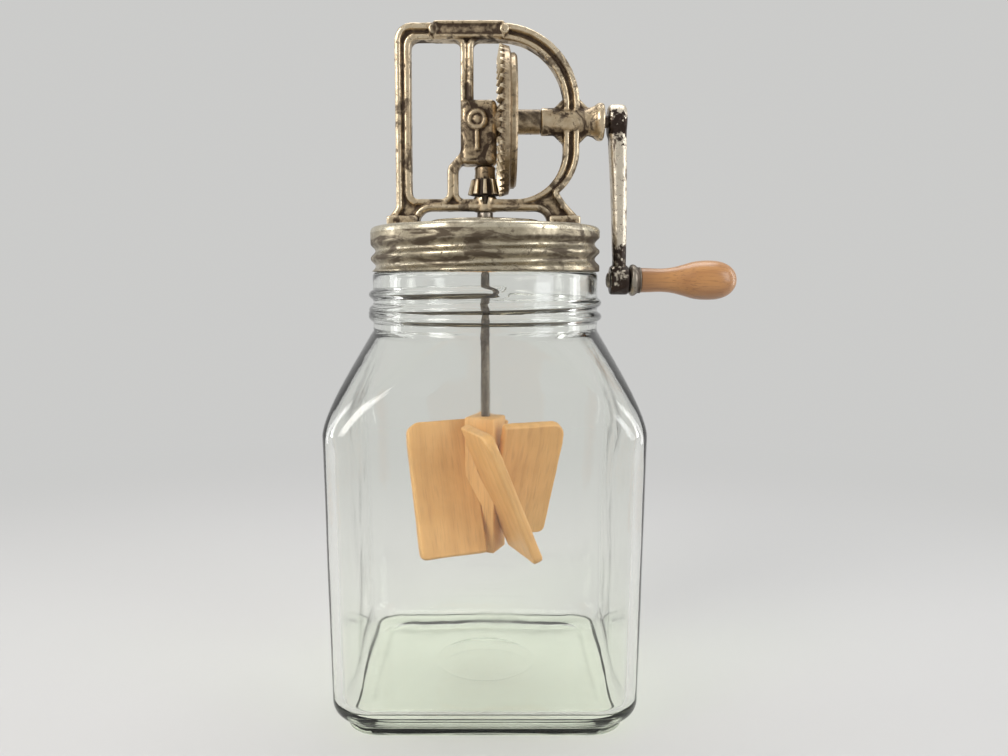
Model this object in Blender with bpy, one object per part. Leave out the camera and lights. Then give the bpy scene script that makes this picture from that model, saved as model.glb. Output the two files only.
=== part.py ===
"""A hand-cranked butter churn: a square glass jar, a tinned lid that carries a cast gear frame, a
crank with a wooden grip, a bevel gear, its pinion and a four-bladed wooden dasher.

Lengths are in metres and +Z is up. The crank is on the +X side and the view from the front looks
along +Y. The origin is the centre of the jar's flat underside.
"""

import math

import bmesh
import bpy
from mathutils import Matrix, Vector

# Gaps and facets
TOUCH_GAP = 0.0003  # between faces that rest on each other
RUN_GAP = 0.0003  # round a shaft, rod or pin
FACET_SAG = 0.0002  # the most that a facet of an outline stands off its true arc
CUT_OVERRUN = 0.0020  # how far a cutter runs past the face that it opens
JOIN_DEPTH = 0.0012  # how deep two shapes overlap where they are joined
TURNED_FACETS = 20
SMOOTH_ANGLE = math.radians(38)

# Glass jar
JAR_WIDTH = 0.1548  # across the flats at the shoulder
HEEL_WIDTH = 0.1508  # across the flats just above the heel
JAR_CORNER_RADIUS = 0.0160
JAR_CORNER_FACETS = 10
GLASS_WALL = 0.0045
FLOOR_THICKNESS = 0.0100
FLOOR_FILLET = 0.0070
FOOT_WIDTH = 0.1376
FOOT_HEIGHT = 0.0052
FOOT_EDGE_ROUND = 0.0022
FOOT_STEP = 0.0006  # the heel stands out over the foot by this
HEEL_RADIUS = 0.0140
HEEL_START_ANGLE = math.radians(35)
SHOULDER_HEIGHT = 0.1480  # where the flats end
SHOULDER_RISE = 0.0476
SHOULDER_LEVELS = 6
NECK_RADIUS = 0.0602
NECK_HEIGHT = 0.0306
NECK_BORE_RADIUS = 0.0560
RIM_ROUND = 0.0016

# Neck thread and bead
THREAD_PITCH = 0.0080
THREAD_BEAD_RADIUS = 0.0022
THREAD_START_DROP = 0.0097  # below the rim, at the front
THREAD_TURNS = 1.4
THREAD_FACETS = 26  # for each turn
THREAD_FADE_TURNS = 0.06
THREAD_SIDES = 6
BEAD_DROP = 0.0234
BEAD_RADIUS = 0.0024
BEAD_LEVELS = 4

# Lid
LID_OVER_NECK = 0.0009
LID_RADIUS = NECK_RADIUS + LID_OVER_NECK
LID_HEIGHT = 0.0235  # hem to flat ring
LID_SHEET = 0.0010
LID_EDGE_ROUND = 0.0036
LID_EDGE_FACETS = 3
LID_FACETS = 40
LID_SKIRT_LEVELS = 12
PLATEAU_BASE_RADIUS = 0.0319
PLATEAU_TOP_RADIUS = 0.0284
PLATEAU_RISE = 0.0035
GROOVE_DEPTH = 0.0024
GROOVE_HALF_WIDTH = 0.0036
GROOVE_START_DROP = 0.0068  # below the flat ring, at the back
GROOVE_TURNS = 2.0
GROOVE_FADE_TURNS = 0.12

# Gear frame, measured from the rod's axis and from the lid's flat ring
FRAME_LEFT_REACH = 0.0471
FRAME_RIGHT_REACH = 0.0496
FRAME_TOP = 0.1043
FRAME_DEPTH = 0.0110
BAR_WIDTH = 0.0083
BAR_EDGE = 0.0016
FRAME_CORNER_RADIUS = 0.0090
FRAME_ARC_RADIUS = 0.0420
LOWER_ARC_RADIUS = 0.0276
LOWER_ARC_CORNER_HEIGHT = 0.0264
WINDOW_CORNER_RADIUS = 0.0035
LOWER_WINDOW_RADIUS = 0.0252
BASE_BAR_BOTTOM = 0.0085
BASE_BAR_TOP = 0.0145
FOOT_PAD_HEIGHT = 0.0056
FOOT_PAD_DEPTH = 0.0200
FOOT_PAD_EDGE = 0.0009
LEFT_PAD_OUTER = 0.0518
LEFT_PAD_INNER = 0.0350
RIGHT_PAD_OUTER = 0.0502
RIGHT_PAD_INNER = 0.0331
PAD_SLOPE_TOP = 0.0100
BUTTRESS_NOTCH_REACH = 0.0390
BUTTRESS_NOTCH_HEIGHT = 0.0177
BUTTRESS_KNEE_REACH = 0.0430
BUTTRESS_KNEE_HEIGHT = 0.0120
ARCH_CORNER_RADIUS = 0.0062
MIDDLE_BAR_WIDTH = 0.0067
SWING_BAR_LEFT = 0.0199
SWING_BAR_RIGHT = 0.0142
SWING_BAR_RADIUS = 0.0050
SWING_BAR_KNEE_DROP = 0.0012  # below the block's bottom
SWING_BAR_KNEE_RISE = 0.0065

# Bearing block, bosses and plate on the frame
SHAFT_HEIGHT = 0.0549
BLOCK_LEFT = 0.0128
BLOCK_RIGHT = 0.0062
BLOCK_ABOVE_SHAFT = 0.0105
BLOCK_BELOW_SHAFT = 0.0227
BLOCK_DEPTH = 0.0160
BLOCK_EDGE = 0.0022
BLOCK_HUB_RADIUS = 0.0077
ROSETTE_RADIUS = 0.0052
ROSETTE_RISE = 0.0012
ROSETTE_DISH_RADIUS = 0.0022
ROSETTE_LEFT = 0.0041  # from the rod's axis
STEM_WIDTH = 0.0022
STEM_LENGTH = 0.0130
STEM_RISE = 0.0008
ROD_BOSS_RADIUS = 0.0061
ROD_BOSS_DROP = 0.0006  # below the base bar
NOTCH_TOP_WIDTH = 0.0060
NOTCH_BOTTOM_WIDTH = 0.0026
NOTCH_DEPTH = 0.0050
BEARING_RADIUS = 0.0071
BEARING_START = 0.0293
BEARING_FLARE_LENGTH = 0.0066
BEARING_FLARE_RADIUS = 0.0098
BEARING_OVER_NECK = 0.0024  # past the neck, so that the crank swings clear of the jar
BEARING_END = NECK_RADIUS + BEARING_OVER_NECK
BEARING_FLARE_START = BEARING_END - BEARING_FLARE_LENGTH
PLATE_LEFT = 0.0268
PLATE_RIGHT = 0.0100
PLATE_HEIGHT = 0.0087
PLATE_ABOVE_BAR = 0.0010
PLATE_PROUD = 0.0012
PLATE_END_RADIUS = 0.0025

# Foot screws, driven up through the lid
SCREW_SHANK_RADIUS = 0.0016
SCREW_HEAD_RADIUS = 0.0032
SCREW_HEAD_HEIGHT = 0.0020
SCREW_BITE = 0.0042
SCREW_SPREAD = 0.0120  # front screw to back screw

# Drive shaft and gear
SHAFT_RADIUS = 0.00315
SHAFT_LEFT_END = 0.0080
CROSS_PIN_RADIUS = 0.0014
GEAR_TEETH = 44
PINION_TEETH = 10
GEAR_RADIUS = 0.0385  # pitch radius at the teeth's outer ends
TOOTH_TOP_GEAR = 0.0013
TOOTH_TOP_PINION = 0.0008
TOOTH_ROOT_GAP = 0.0004
TOOTH_SIDE_PLAY = 0.0004
FACE_SHARE = 0.80  # the teeth's inner ends, as a share of the way from the cones' apex
FLANK_ANGLE = math.radians(20)
GEAR_RIM_BACK = 0.0134
GEAR_RIM_INNER_RADIUS = 0.0290
GEAR_RIM_DRAFT = 0.0010
GEAR_DISC_RADIUS = 0.0345
GEAR_DISC_THICKNESS = 0.0030
GEAR_DISC_ROUND = 0.0012
GEAR_HUB_RADIUS = 0.0064

# Pinion, dasher rod and bush
PINION_LOW = 0.0380  # its teeth's lower ends, below the shaft's axis
PINION_HUB_RADIUS = 0.0056
PINION_HUB_ROUND = 0.0010
ROD_RADIUS = 0.00235
ROD_SOCKET_DEPTH = 0.0080
BUSH_RADIUS = 0.0043
BUSH_FLANGE_RADIUS = 0.0068
BUSH_FLANGE_THICKNESS = 0.0013
BUSH_TAIL = 0.0020

# Crank
CRANK_THROW = 0.0831
CRANK_BEARING_GAP = 0.0022
CRANK_LUG_LEAN = 0.0023  # how much further out the lug stands than the head
CRANK_HEAD_THICKNESS = 0.0096
CRANK_LUG_THICKNESS = 0.0100
CRANK_HEAD_START = BEARING_END + CRANK_BEARING_GAP
CRANK_HEAD_END = CRANK_HEAD_START + CRANK_HEAD_THICKNESS
CRANK_LUG_START = CRANK_HEAD_START + CRANK_LUG_LEAN
CRANK_LUG_END = CRANK_LUG_START + CRANK_LUG_THICKNESS
CRANK_HEAD_RADIUS = 0.0090
CRANK_LUG_RADIUS = 0.0078
CRANK_EDGE = 0.0010
ARM_TOP_THICKNESS = 0.0094
ARM_BOTTOM_THICKNESS = 0.0066
ARM_TOP_SETBACK = 0.0049
ARM_BOTTOM_SETBACK = 0.0051
ARM_TOP_CENTRE = CRANK_HEAD_START + ARM_TOP_SETBACK
ARM_BOTTOM_CENTRE = CRANK_LUG_START + ARM_BOTTOM_SETBACK
ARM_TOP_WIDTH = 0.0130
ARM_BOTTOM_WIDTH = 0.0098
ARM_LEVELS = 4
SHAFT_SEAT_DEPTH = 0.0072

# Spindle, ferrule and grip
SPINDLE_RADIUS = 0.0025
SPINDLE_HEAD_RADIUS = 0.0042
SPINDLE_HEAD_HEIGHT = 0.0014
SPINDLE_END = 0.1255
FERRULE_LENGTH = 0.0062
FERRULE_RADIUS = 0.0085
FERRULE_END_RADIUS = 0.0066
GRIP_END = 0.1354
GRIP_RADIUS = 0.01055
GRIP_WAIST_SHARE = 0.60
GRIP_FACETS = 20

# Dasher
HUB_WIDTH = 0.0170
BLADE_CENTRE_HEIGHT = 0.1096
HUB_ABOVE_BLADES = 0.0374  # from the blades' middle to the hub's top
HUB_BELOW_BLADES = 0.0359
HUB_TOP = BLADE_CENTRE_HEIGHT + HUB_ABOVE_BLADES
HUB_BOTTOM = BLADE_CENTRE_HEIGHT - HUB_BELOW_BLADES
HUB_EDGE = 0.0008
HUB_FLOOR = 0.0063  # wood left below the rod
ROD_END = HUB_BOTTOM + HUB_FLOOR
HUB_PIN_RADIUS = 0.0012
BLADE_REACH = 0.0417
BLADE_ROOT = 0.0050
BLADE_HEIGHT = 0.0732
HUB_PIN_DROP = 0.0236  # below the blades' middle
HUB_PIN_HEIGHT = BLADE_CENTRE_HEIGHT - HUB_PIN_DROP
BLADE_THICKNESS = 0.0052
BLADE_TOP_RADIUS = 0.0060
BLADE_FOOT_RADIUS = 0.0032
BLADE_EDGE = 0.0007
BLADE_TILT = math.radians(22.5)
BLADE_COUNT = 4
DASHER_TURN = math.radians(22)  # how far the front blade points round towards the crank

# Places that follow from the sizes
RIM_Z = SHOULDER_HEIGHT + SHOULDER_RISE + NECK_HEIGHT
HEM_Z = RIM_Z + TOUCH_GAP
RING_Z = HEM_Z + LID_HEIGHT
FRAME_Z = RING_Z + TOUCH_GAP
SHAFT_Z = FRAME_Z + SHAFT_HEIGHT
BLOCK_BOTTOM_Z = SHAFT_Z - BLOCK_BELOW_SHAFT
PITCH_SLOPE = PINION_TEETH / GEAR_TEETH  # pinion radius for each unit of gear radius
ROOT_PINION = TOOTH_TOP_GEAR + TOOTH_ROOT_GAP
ROOT_GEAR = TOOTH_TOP_PINION + TOOTH_ROOT_GAP
CONE_ALONG = Vector((PITCH_SLOPE, 1)).normalized()  # down the shared pitch line, as (x, depth)
CONE_ACROSS = Vector((-CONE_ALONG.y, CONE_ALONG.x))  # from gear root to gear tip
PINION_BOTTOM_Z = SHAFT_Z - PINION_LOW - ROOT_PINION * CONE_ACROSS.y
GEAR_DISC_BACK = GEAR_RIM_BACK + GEAR_DISC_THICKNESS
SPINDLE_Z = SHAFT_Z - CRANK_THROW


def clear_scene():
    for obj in list(bpy.data.objects):
        bpy.data.objects.remove(obj, do_unlink=True)


def material(name, colour, roughness, metallic=0.0, transmission=0.0):
    made = bpy.data.materials.new(name)
    made.use_nodes = True
    shader = made.node_tree.nodes["Principled BSDF"]
    shader.inputs["Base Color"].default_value = (*colour, 1)
    shader.inputs["Roughness"].default_value = roughness
    shader.inputs["Metallic"].default_value = metallic
    shader.inputs["Transmission Weight"].default_value = transmission
    return made


def pivot(name, place, parent=None):
    """An empty that carries the pieces which move or sit together."""
    empty = bpy.data.objects.new(name, None)
    bpy.context.scene.collection.objects.link(empty)
    empty.location = place
    empty.parent = parent
    return empty


def add_mesh(name, bm):
    bmesh.ops.recalc_face_normals(bm, faces=bm.faces)
    mesh = bpy.data.meshes.new(name)
    bm.to_mesh(mesh)
    bm.free()
    obj = bpy.data.objects.new(name, mesh)
    bpy.context.scene.collection.objects.link(obj)
    return obj


def place(obj, parent=None, location=(0, 0, 0), rotation=(0, 0, 0)):
    obj.parent = parent
    obj.location = location
    obj.rotation_euler = rotation
    return obj


def finish(obj, coat):
    obj.data.materials.clear()
    obj.data.materials.append(coat)
    obj.data.shade_smooth()
    obj.data.set_sharp_from_angle(angle=SMOOTH_ANGLE)
    return obj


def combine(target, tool, operation):
    """Joins tool to target, or cuts it away, and removes tool."""
    bpy.context.view_layer.update()
    modifier = target.modifiers.new(operation.title(), "BOOLEAN")
    modifier.operation = operation
    modifier.object = tool
    bpy.context.view_layer.objects.active = target
    bpy.ops.object.modifier_apply(modifier=modifier.name)
    bpy.data.objects.remove(tool, do_unlink=True)


def bridge_rings(bm, rings, closed=False):
    """Faces between rings of equally many points. Open ends are capped."""
    loops = [[bm.verts.new(point) for point in ring] for ring in rings]
    count = len(loops[0])
    pairs = list(zip(loops, loops[1:]))
    if closed:
        pairs.append((loops[-1], loops[0]))
    else:
        bm.faces.new(loops[0])
        bm.faces.new(loops[-1])
    for first, second in pairs:
        for i in range(count):
            j = (i + 1) % count
            bm.faces.new((first[i], first[j], second[j], second[i]))
    return bm


def circle(radius, height, facets):
    turns = [2 * math.pi * i / facets for i in range(facets)]
    return [Vector((radius * math.cos(t), radius * math.sin(t), height)) for t in turns]


def turned(name, profile, facets=TURNED_FACETS, closed=False):
    """A solid turned about Z from (radius, height) stations."""
    rings = [circle(radius, height, facets) for radius, height in profile]
    return add_mesh(name, bridge_rings(bmesh.new(), rings, closed))


def rod(name, radius, low, high, facets=TURNED_FACETS):
    return turned(name, [(radius, low), (radius, high)], facets)


def along_x(obj):
    obj.rotation_euler = (0, math.pi / 2, 0)
    return obj


def block(name, low, high, edge):
    """A box between two corners with its edges broken by edge."""
    bm = bmesh.new()
    bmesh.ops.create_cube(bm, size=1)
    low = Vector(low)
    high = Vector(high)
    for vert in bm.verts:
        share = vert.co + Vector((0.5, 0.5, 0.5))
        vert.co = low + Vector([share[i] * (high[i] - low[i]) for i in range(3)])
    if edge:
        bmesh.ops.bevel(bm, geom=bm.edges[:], offset=edge, segments=1, affect="EDGES")
    return add_mesh(name, bm)


def filleted(corners):
    """Points of a closed outline from (x, z, corner radius) corners."""
    points = []
    for i, (x, z, radius) in enumerate(corners):
        here = Vector((x, z))
        before = (here - Vector(corners[i - 1][:2])).normalized()
        after = (Vector(corners[(i + 1) % len(corners)][:2]) - here).normalized()
        turn = before.angle_signed(after)
        if not radius:
            points.append(here)
            continue
        reach = radius * math.tan(abs(turn) / 2)
        start = here - reach * before
        side = 1 if turn < 0 else -1
        centre = start + side * radius * Vector((-before.y, before.x))
        facet = 2 * math.acos(1 - FACET_SAG / max(radius, 2 * FACET_SAG))
        steps = max(1, math.ceil(abs(turn) / facet))
        for step in range(steps + 1):
            swing = Matrix.Rotation(side * abs(turn) * step / steps, 2)
            points.append(centre + swing @ (start - centre))
    return points


def wound(loop, outer):
    """The loop's points, turned so that material lies on the left of each edge."""
    area = sum(a.cross(b) for a, b in zip(loop, loop[1:] + loop[:1]))
    return loop if (area > 0) == outer else loop[::-1]


def drawn_in(loop, distance):
    """The loop moved to the left of its edges by distance."""
    points = []
    for i, here in enumerate(loop):
        before = (here - loop[i - 1]).normalized()
        after = (loop[(i + 1) % len(loop)] - here).normalized()
        normals = Vector((-before.y, before.x)), Vector((-after.y, after.x))
        middle = normals[0] + normals[1]
        points.append(here + middle * distance / (1 + normals[0].dot(normals[1])))
    return points


def plate_of(name, loops, depth, edge):
    """A plate in the XZ plane, centred on Y, from an outline and its windows."""
    half = depth / 2
    levels = [(-half, edge), (edge - half, 0), (half - edge, 0), (half, edge)]
    bm = bmesh.new()
    front, back = [], []
    for number, loop in enumerate(loops):
        points = wound(loop, outer=not number)
        rings = []
        for y, inset in levels if edge else (levels[0], levels[-1]):
            rings.append([bm.verts.new((p.x, y, p.y)) for p in drawn_in(points, inset)])
        for first, second in zip(rings, rings[1:]):
            for i in range(len(points)):
                bm.faces.new((first[i - 1], first[i], second[i], second[i - 1]))
        for cap, ring in ((front, rings[0]), (back, rings[-1])):
            cap += [bm.edges.get((ring[i - 1], ring[i])) for i in range(len(ring))]
    for cap in (front, back):
        bmesh.ops.triangle_fill(bm, use_beauty=True, edges=cap)
    return add_mesh(name, bm)


# Glass jar
def square_ring(half, corner, height):
    """A rounded square. With its corner as wide as its half width it is a circle."""
    points = []
    for quarter in range(4):
        turn = Matrix.Rotation(quarter * math.pi / 2, 2)
        for step in range(JAR_CORNER_FACETS):
            angle = (step + 0.5) / JAR_CORNER_FACETS * math.pi / 2
            corner_point = Vector((math.cos(angle), math.sin(angle))) * corner
            point = turn @ (Vector((half - corner, half - corner)) + corner_point)
            points.append(point.to_3d() + Vector((0, 0, height)))
    return points


def jar_outside():
    """(half width, corner radius, height) from the underside up to the neck."""
    foot = FOOT_WIDTH / 2
    heel = HEEL_WIDTH / 2
    shoulder = JAR_WIDTH / 2
    stations = [
        (foot - FOOT_EDGE_ROUND, JAR_CORNER_RADIUS, 0),
        (foot - FOOT_EDGE_ROUND / 3, JAR_CORNER_RADIUS, FOOT_EDGE_ROUND / 3),
        (foot, JAR_CORNER_RADIUS, FOOT_EDGE_ROUND),
        (foot, JAR_CORNER_RADIUS, FOOT_HEIGHT - FOOT_STEP),
    ]
    for step in range(5):
        angle = HEEL_START_ANGLE + step / 4 * (math.pi / 2 - HEEL_START_ANGLE)
        half = heel - HEEL_RADIUS * (1 - math.sin(angle))
        rise = HEEL_RADIUS * (math.cos(HEEL_START_ANGLE) - math.cos(angle))
        stations.append((half, JAR_CORNER_RADIUS, FOOT_HEIGHT + rise))
    for step in range(SHOULDER_LEVELS + 1):
        t = step / SHOULDER_LEVELS
        half, rise = shoulder_curve(t, shoulder)
        rounding = (shoulder - half) / (shoulder - NECK_RADIUS)
        corner = JAR_CORNER_RADIUS + rounding * (NECK_RADIUS - JAR_CORNER_RADIUS)
        stations.append((half, corner, SHOULDER_HEIGHT + rise))
    return stations


def shoulder_curve(t, shoulder):
    """Half width and rise on the curve from the flats to the neck."""
    lift_share, lean_share, drop_share = 0.20, 0.50, 0.40
    narrowing = shoulder - NECK_RADIUS
    guides = (
        Vector((shoulder, 0)),
        Vector((shoulder, lift_share * SHOULDER_RISE)),
        Vector((NECK_RADIUS + lean_share * narrowing, (1 - drop_share) * SHOULDER_RISE)),
        Vector((NECK_RADIUS, SHOULDER_RISE)),
    )
    while len(guides) > 1:
        guides = [a.lerp(b, t) for a, b in zip(guides, guides[1:])]
    return guides[0]


def make_jar(coat):
    outside = jar_outside()
    inside = [
        (half - GLASS_WALL, max(corner - GLASS_WALL, FLOOR_FILLET), height)
        for half, corner, height in outside[-1 - SHOULDER_LEVELS : -1]
    ]
    floor_half = HEEL_WIDTH / 2 - GLASS_WALL
    inner_corner = JAR_CORNER_RADIUS - GLASS_WALL
    stations = outside + neck_bead() + [
        (NECK_RADIUS, NECK_RADIUS, RIM_Z - RIM_ROUND),
        (NECK_RADIUS - RIM_ROUND / 3, NECK_RADIUS - RIM_ROUND / 3, RIM_Z - RIM_ROUND / 3),
        (NECK_RADIUS - RIM_ROUND, NECK_RADIUS - RIM_ROUND, RIM_Z),
        (NECK_BORE_RADIUS + RIM_ROUND, NECK_BORE_RADIUS + RIM_ROUND, RIM_Z),
        (NECK_BORE_RADIUS, NECK_BORE_RADIUS, RIM_Z - RIM_ROUND),
        (NECK_BORE_RADIUS, NECK_BORE_RADIUS, RIM_Z - NECK_HEIGHT),
    ]
    stations += reversed(inside)
    stations += [
        (floor_half, inner_corner, FLOOR_THICKNESS + FLOOR_FILLET),
        (
            floor_half - FLOOR_FILLET / 3,
            inner_corner,
            FLOOR_THICKNESS + FLOOR_FILLET / 3,
        ),
        (floor_half - FLOOR_FILLET, inner_corner, FLOOR_THICKNESS),
    ]
    rings = [square_ring(*station) for station in stations]
    jar = add_mesh("glass_jar", bridge_rings(bmesh.new(), rings))
    combine(jar, make_thread(), "UNION")
    finish(jar, coat)


def neck_bead():
    """Stations of the plain ring round the foot of the neck."""
    stations = []
    for step in range(BEAD_LEVELS + 1):
        angle = (step / BEAD_LEVELS - 1 / 2) * math.pi
        half = NECK_RADIUS + BEAD_RADIUS * math.cos(angle)
        stations.append((half, half, RIM_Z - BEAD_DROP + BEAD_RADIUS * math.sin(angle)))
    return stations


def make_thread():
    """One right-hand thread that starts at the front and fades into the neck at both ends."""
    sections = []
    count = round(THREAD_TURNS * THREAD_FACETS)
    for i in range(count + 1):
        turns = i / THREAD_FACETS
        fade = min(1, min(turns, THREAD_TURNS - turns) / THREAD_FADE_TURNS)
        angle = -math.pi / 2 - 2 * math.pi * turns
        middle = NECK_RADIUS - (1 - fade) * THREAD_BEAD_RADIUS * 0.9
        height = RIM_Z - THREAD_START_DROP - turns * THREAD_PITCH
        section = []
        for side in range(THREAD_SIDES):
            around = 2 * math.pi * (side + 0.5) / THREAD_SIDES
            radius = middle + THREAD_BEAD_RADIUS * math.cos(around)
            section.append(
                Vector(
                    (
                        radius * math.cos(angle),
                        radius * math.sin(angle),
                        height + THREAD_BEAD_RADIUS * math.sin(around),
                    )
                )
            )
        sections.append(section)
    return add_mesh("neck_thread", bridge_rings(bmesh.new(), sections))


# Lid, in heights above its hem
def groove_at(angle, height):
    """How deep the rolled thread lies at an angle round the lid and a height over the hem."""
    first = ((math.pi / 2 - angle) / (2 * math.pi)) % 1
    depth = 0
    for turn in range(math.ceil(GROOVE_TURNS) + 1):
        turns = first + turn
        fade = min(1, max(0, min(turns, GROOVE_TURNS - turns) / GROOVE_FADE_TURNS))
        middle = LID_HEIGHT - GROOVE_START_DROP - turns * THREAD_PITCH
        away = min(1, abs(height - middle) / GROOVE_HALF_WIDTH)
        depth = max(depth, fade * GROOVE_DEPTH * math.cos(away * math.pi / 2) ** 2)
    return depth


def lid_ring(radius, height, inset):
    ring = []
    for i in range(LID_FACETS):
        angle = 2 * math.pi * i / LID_FACETS
        here = radius - inset - groove_at(angle, height)
        ring.append(Vector((here * math.cos(angle), here * math.sin(angle), height)))
    return ring


def lid_skin(inset):
    """Rings of the lid's outer skin, hem first, or of the inner one that lies inset below it."""
    rings = []
    edge_start = LID_HEIGHT - LID_EDGE_ROUND
    for level in range(LID_SKIRT_LEVELS + 1):
        rings.append(lid_ring(LID_RADIUS, level / LID_SKIRT_LEVELS * edge_start, inset))
    for step in range(1, LID_EDGE_FACETS + 1):
        angle = step / LID_EDGE_FACETS * math.pi / 2
        radius = LID_RADIUS - LID_EDGE_ROUND * (1 - math.cos(angle)) - inset * math.cos(angle)
        height = edge_start + (LID_EDGE_ROUND - inset) * math.sin(angle)
        rings.append(circle(radius, height, LID_FACETS))
    for radius, rise in (
        (PLATEAU_BASE_RADIUS, 0),
        (PLATEAU_TOP_RADIUS, PLATEAU_RISE),
        (BUSH_RADIUS + RUN_GAP, PLATEAU_RISE),
    ):
        rings.append(circle(radius, LID_HEIGHT + rise - inset, LID_FACETS))
    return rings


def make_lid(coat, parent):
    rings = lid_skin(0) + list(reversed(lid_skin(LID_SHEET)))
    lid = add_mesh("lid_cap", bridge_rings(bmesh.new(), rings, closed=True))
    place(lid, parent)
    for x, y in screw_places():
        low = LID_HEIGHT - LID_SHEET - CUT_OVERRUN
        hole = rod("hole", SCREW_SHANK_RADIUS + RUN_GAP, low, LID_HEIGHT + CUT_OVERRUN, 12)
        combine(lid, place(hole, parent, (x, y, 0)), "DIFFERENCE")
    finish(lid, coat)


def screw_places():
    """(x, y) of the four foot screws."""
    left = -(LEFT_PAD_OUTER + LEFT_PAD_INNER) / 2
    right = (RIGHT_PAD_OUTER + RIGHT_PAD_INNER) / 2
    return [(x, y) for x in (left, right) for y in (-SCREW_SPREAD / 2, SCREW_SPREAD / 2)]


def make_screws(coat, parent):
    head_top = LID_HEIGHT - LID_SHEET - TOUCH_GAP
    tip = LID_HEIGHT + TOUCH_GAP + SCREW_BITE
    profile = [
        (SCREW_HEAD_RADIUS * 0.7, head_top - SCREW_HEAD_HEIGHT),
        (SCREW_HEAD_RADIUS, head_top - SCREW_HEAD_HEIGHT / 2),
        (SCREW_HEAD_RADIUS, head_top),
        (SCREW_SHANK_RADIUS, head_top),
        (SCREW_SHANK_RADIUS, tip),
    ]
    for number, (x, y) in enumerate(screw_places(), 1):
        screw = turned(f"foot_screw_{number}", profile, 12)
        finish(place(screw, parent, (x, y, 0)), coat)


def make_bush(coat, parent):
    """The flanged sleeve that guides the rod through the lid."""
    under_plate = LID_HEIGHT + PLATEAU_RISE - LID_SHEET - TOUCH_GAP
    top = LID_HEIGHT + TOUCH_GAP + BASE_BAR_BOTTOM - ROD_BOSS_DROP - TOUCH_GAP
    low = under_plate - BUSH_FLANGE_THICKNESS - BUSH_TAIL
    bore = ROD_RADIUS + RUN_GAP
    profile = [
        (bore, low),
        (BUSH_RADIUS, low),
        (BUSH_RADIUS, under_plate - BUSH_FLANGE_THICKNESS),
        (BUSH_FLANGE_RADIUS, under_plate - BUSH_FLANGE_THICKNESS),
        (BUSH_FLANGE_RADIUS, under_plate),
        (BUSH_RADIUS, under_plate),
        (BUSH_RADIUS, top),
        (bore, top),
    ]
    finish(place(turned("rod_bush", profile, closed=True), parent), coat)


# Gear frame, in heights above its seat on the lid
def frame_outline():
    inset = JOIN_DEPTH / 2
    return filleted(
        [
            (-LEFT_PAD_OUTER + inset, inset, 0),
            (-LEFT_PAD_OUTER + inset, FOOT_PAD_HEIGHT - inset, 0),
            (-FRAME_LEFT_REACH, PAD_SLOPE_TOP, 0.3 * FRAME_CORNER_RADIUS),
            (-FRAME_LEFT_REACH, FRAME_TOP, FRAME_CORNER_RADIUS),
            (FRAME_RIGHT_REACH, FRAME_TOP, FRAME_ARC_RADIUS),
            (FRAME_RIGHT_REACH, LOWER_ARC_CORNER_HEIGHT, LOWER_ARC_RADIUS),
            (BUTTRESS_NOTCH_REACH, BUTTRESS_NOTCH_HEIGHT, 0),
            (BUTTRESS_KNEE_REACH, BUTTRESS_KNEE_HEIGHT, 0),
            (RIGHT_PAD_OUTER - inset, FOOT_PAD_HEIGHT - inset, 0),
            (RIGHT_PAD_OUTER - inset, inset, 0),
            (RIGHT_PAD_INNER, inset, 0),
            (RIGHT_PAD_INNER, BASE_BAR_BOTTOM, ARCH_CORNER_RADIUS),
            (-LEFT_PAD_INNER, BASE_BAR_BOTTOM, ARCH_CORNER_RADIUS),
            (-LEFT_PAD_INNER, inset, 0),
        ]
    )


def left_window():
    right = -BLOCK_LEFT
    knee = SHAFT_HEIGHT - BLOCK_BELOW_SHAFT
    return filleted(
        [
            (BAR_WIDTH - FRAME_LEFT_REACH, BASE_BAR_TOP, WINDOW_CORNER_RADIUS),
            (BAR_WIDTH - FRAME_LEFT_REACH, FRAME_TOP - BAR_WIDTH, WINDOW_CORNER_RADIUS),
            (right, FRAME_TOP - BAR_WIDTH, WINDOW_CORNER_RADIUS),
            (right, knee + SWING_BAR_KNEE_RISE, SWING_BAR_RADIUS),
            (-SWING_BAR_LEFT, knee - SWING_BAR_KNEE_DROP, SWING_BAR_RADIUS),
            (-SWING_BAR_LEFT, BASE_BAR_TOP, WINDOW_CORNER_RADIUS),
        ]
    )


def gear_window():
    """The D-shaped window, which also opens round the block and the pinion."""
    inset = JOIN_DEPTH
    reach = FRAME_RIGHT_REACH - BAR_WIDTH
    bar_right = MIDDLE_BAR_WIDTH - BLOCK_LEFT
    block_top = SHAFT_HEIGHT + BLOCK_ABOVE_SHAFT - inset
    block_bottom = SHAFT_HEIGHT - BLOCK_BELOW_SHAFT + inset
    return filleted(
        [
            (bar_right, FRAME_TOP - BAR_WIDTH, WINDOW_CORNER_RADIUS),
            (bar_right, block_top, 0),
            (BLOCK_RIGHT - inset, block_top, 0),
            (BLOCK_RIGHT - inset, block_bottom, 0),
            (-SWING_BAR_RIGHT, block_bottom, SWING_BAR_RADIUS),
            (-SWING_BAR_RIGHT, BASE_BAR_TOP, WINDOW_CORNER_RADIUS),
            (reach, BASE_BAR_TOP, LOWER_WINDOW_RADIUS),
            (reach, FRAME_TOP - BAR_WIDTH, FRAME_ARC_RADIUS - BAR_WIDTH),
        ]
    )


def frame_pads():
    spans = (
        (-LEFT_PAD_OUTER, -LEFT_PAD_INNER - FOOT_PAD_EDGE),
        (RIGHT_PAD_INNER + FOOT_PAD_EDGE, RIGHT_PAD_OUTER),
    )
    half = FOOT_PAD_DEPTH / 2
    return [
        block("pad", (low, -half, 0), (high, half, FOOT_PAD_HEIGHT), FOOT_PAD_EDGE)
        for low, high in spans
    ]


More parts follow.
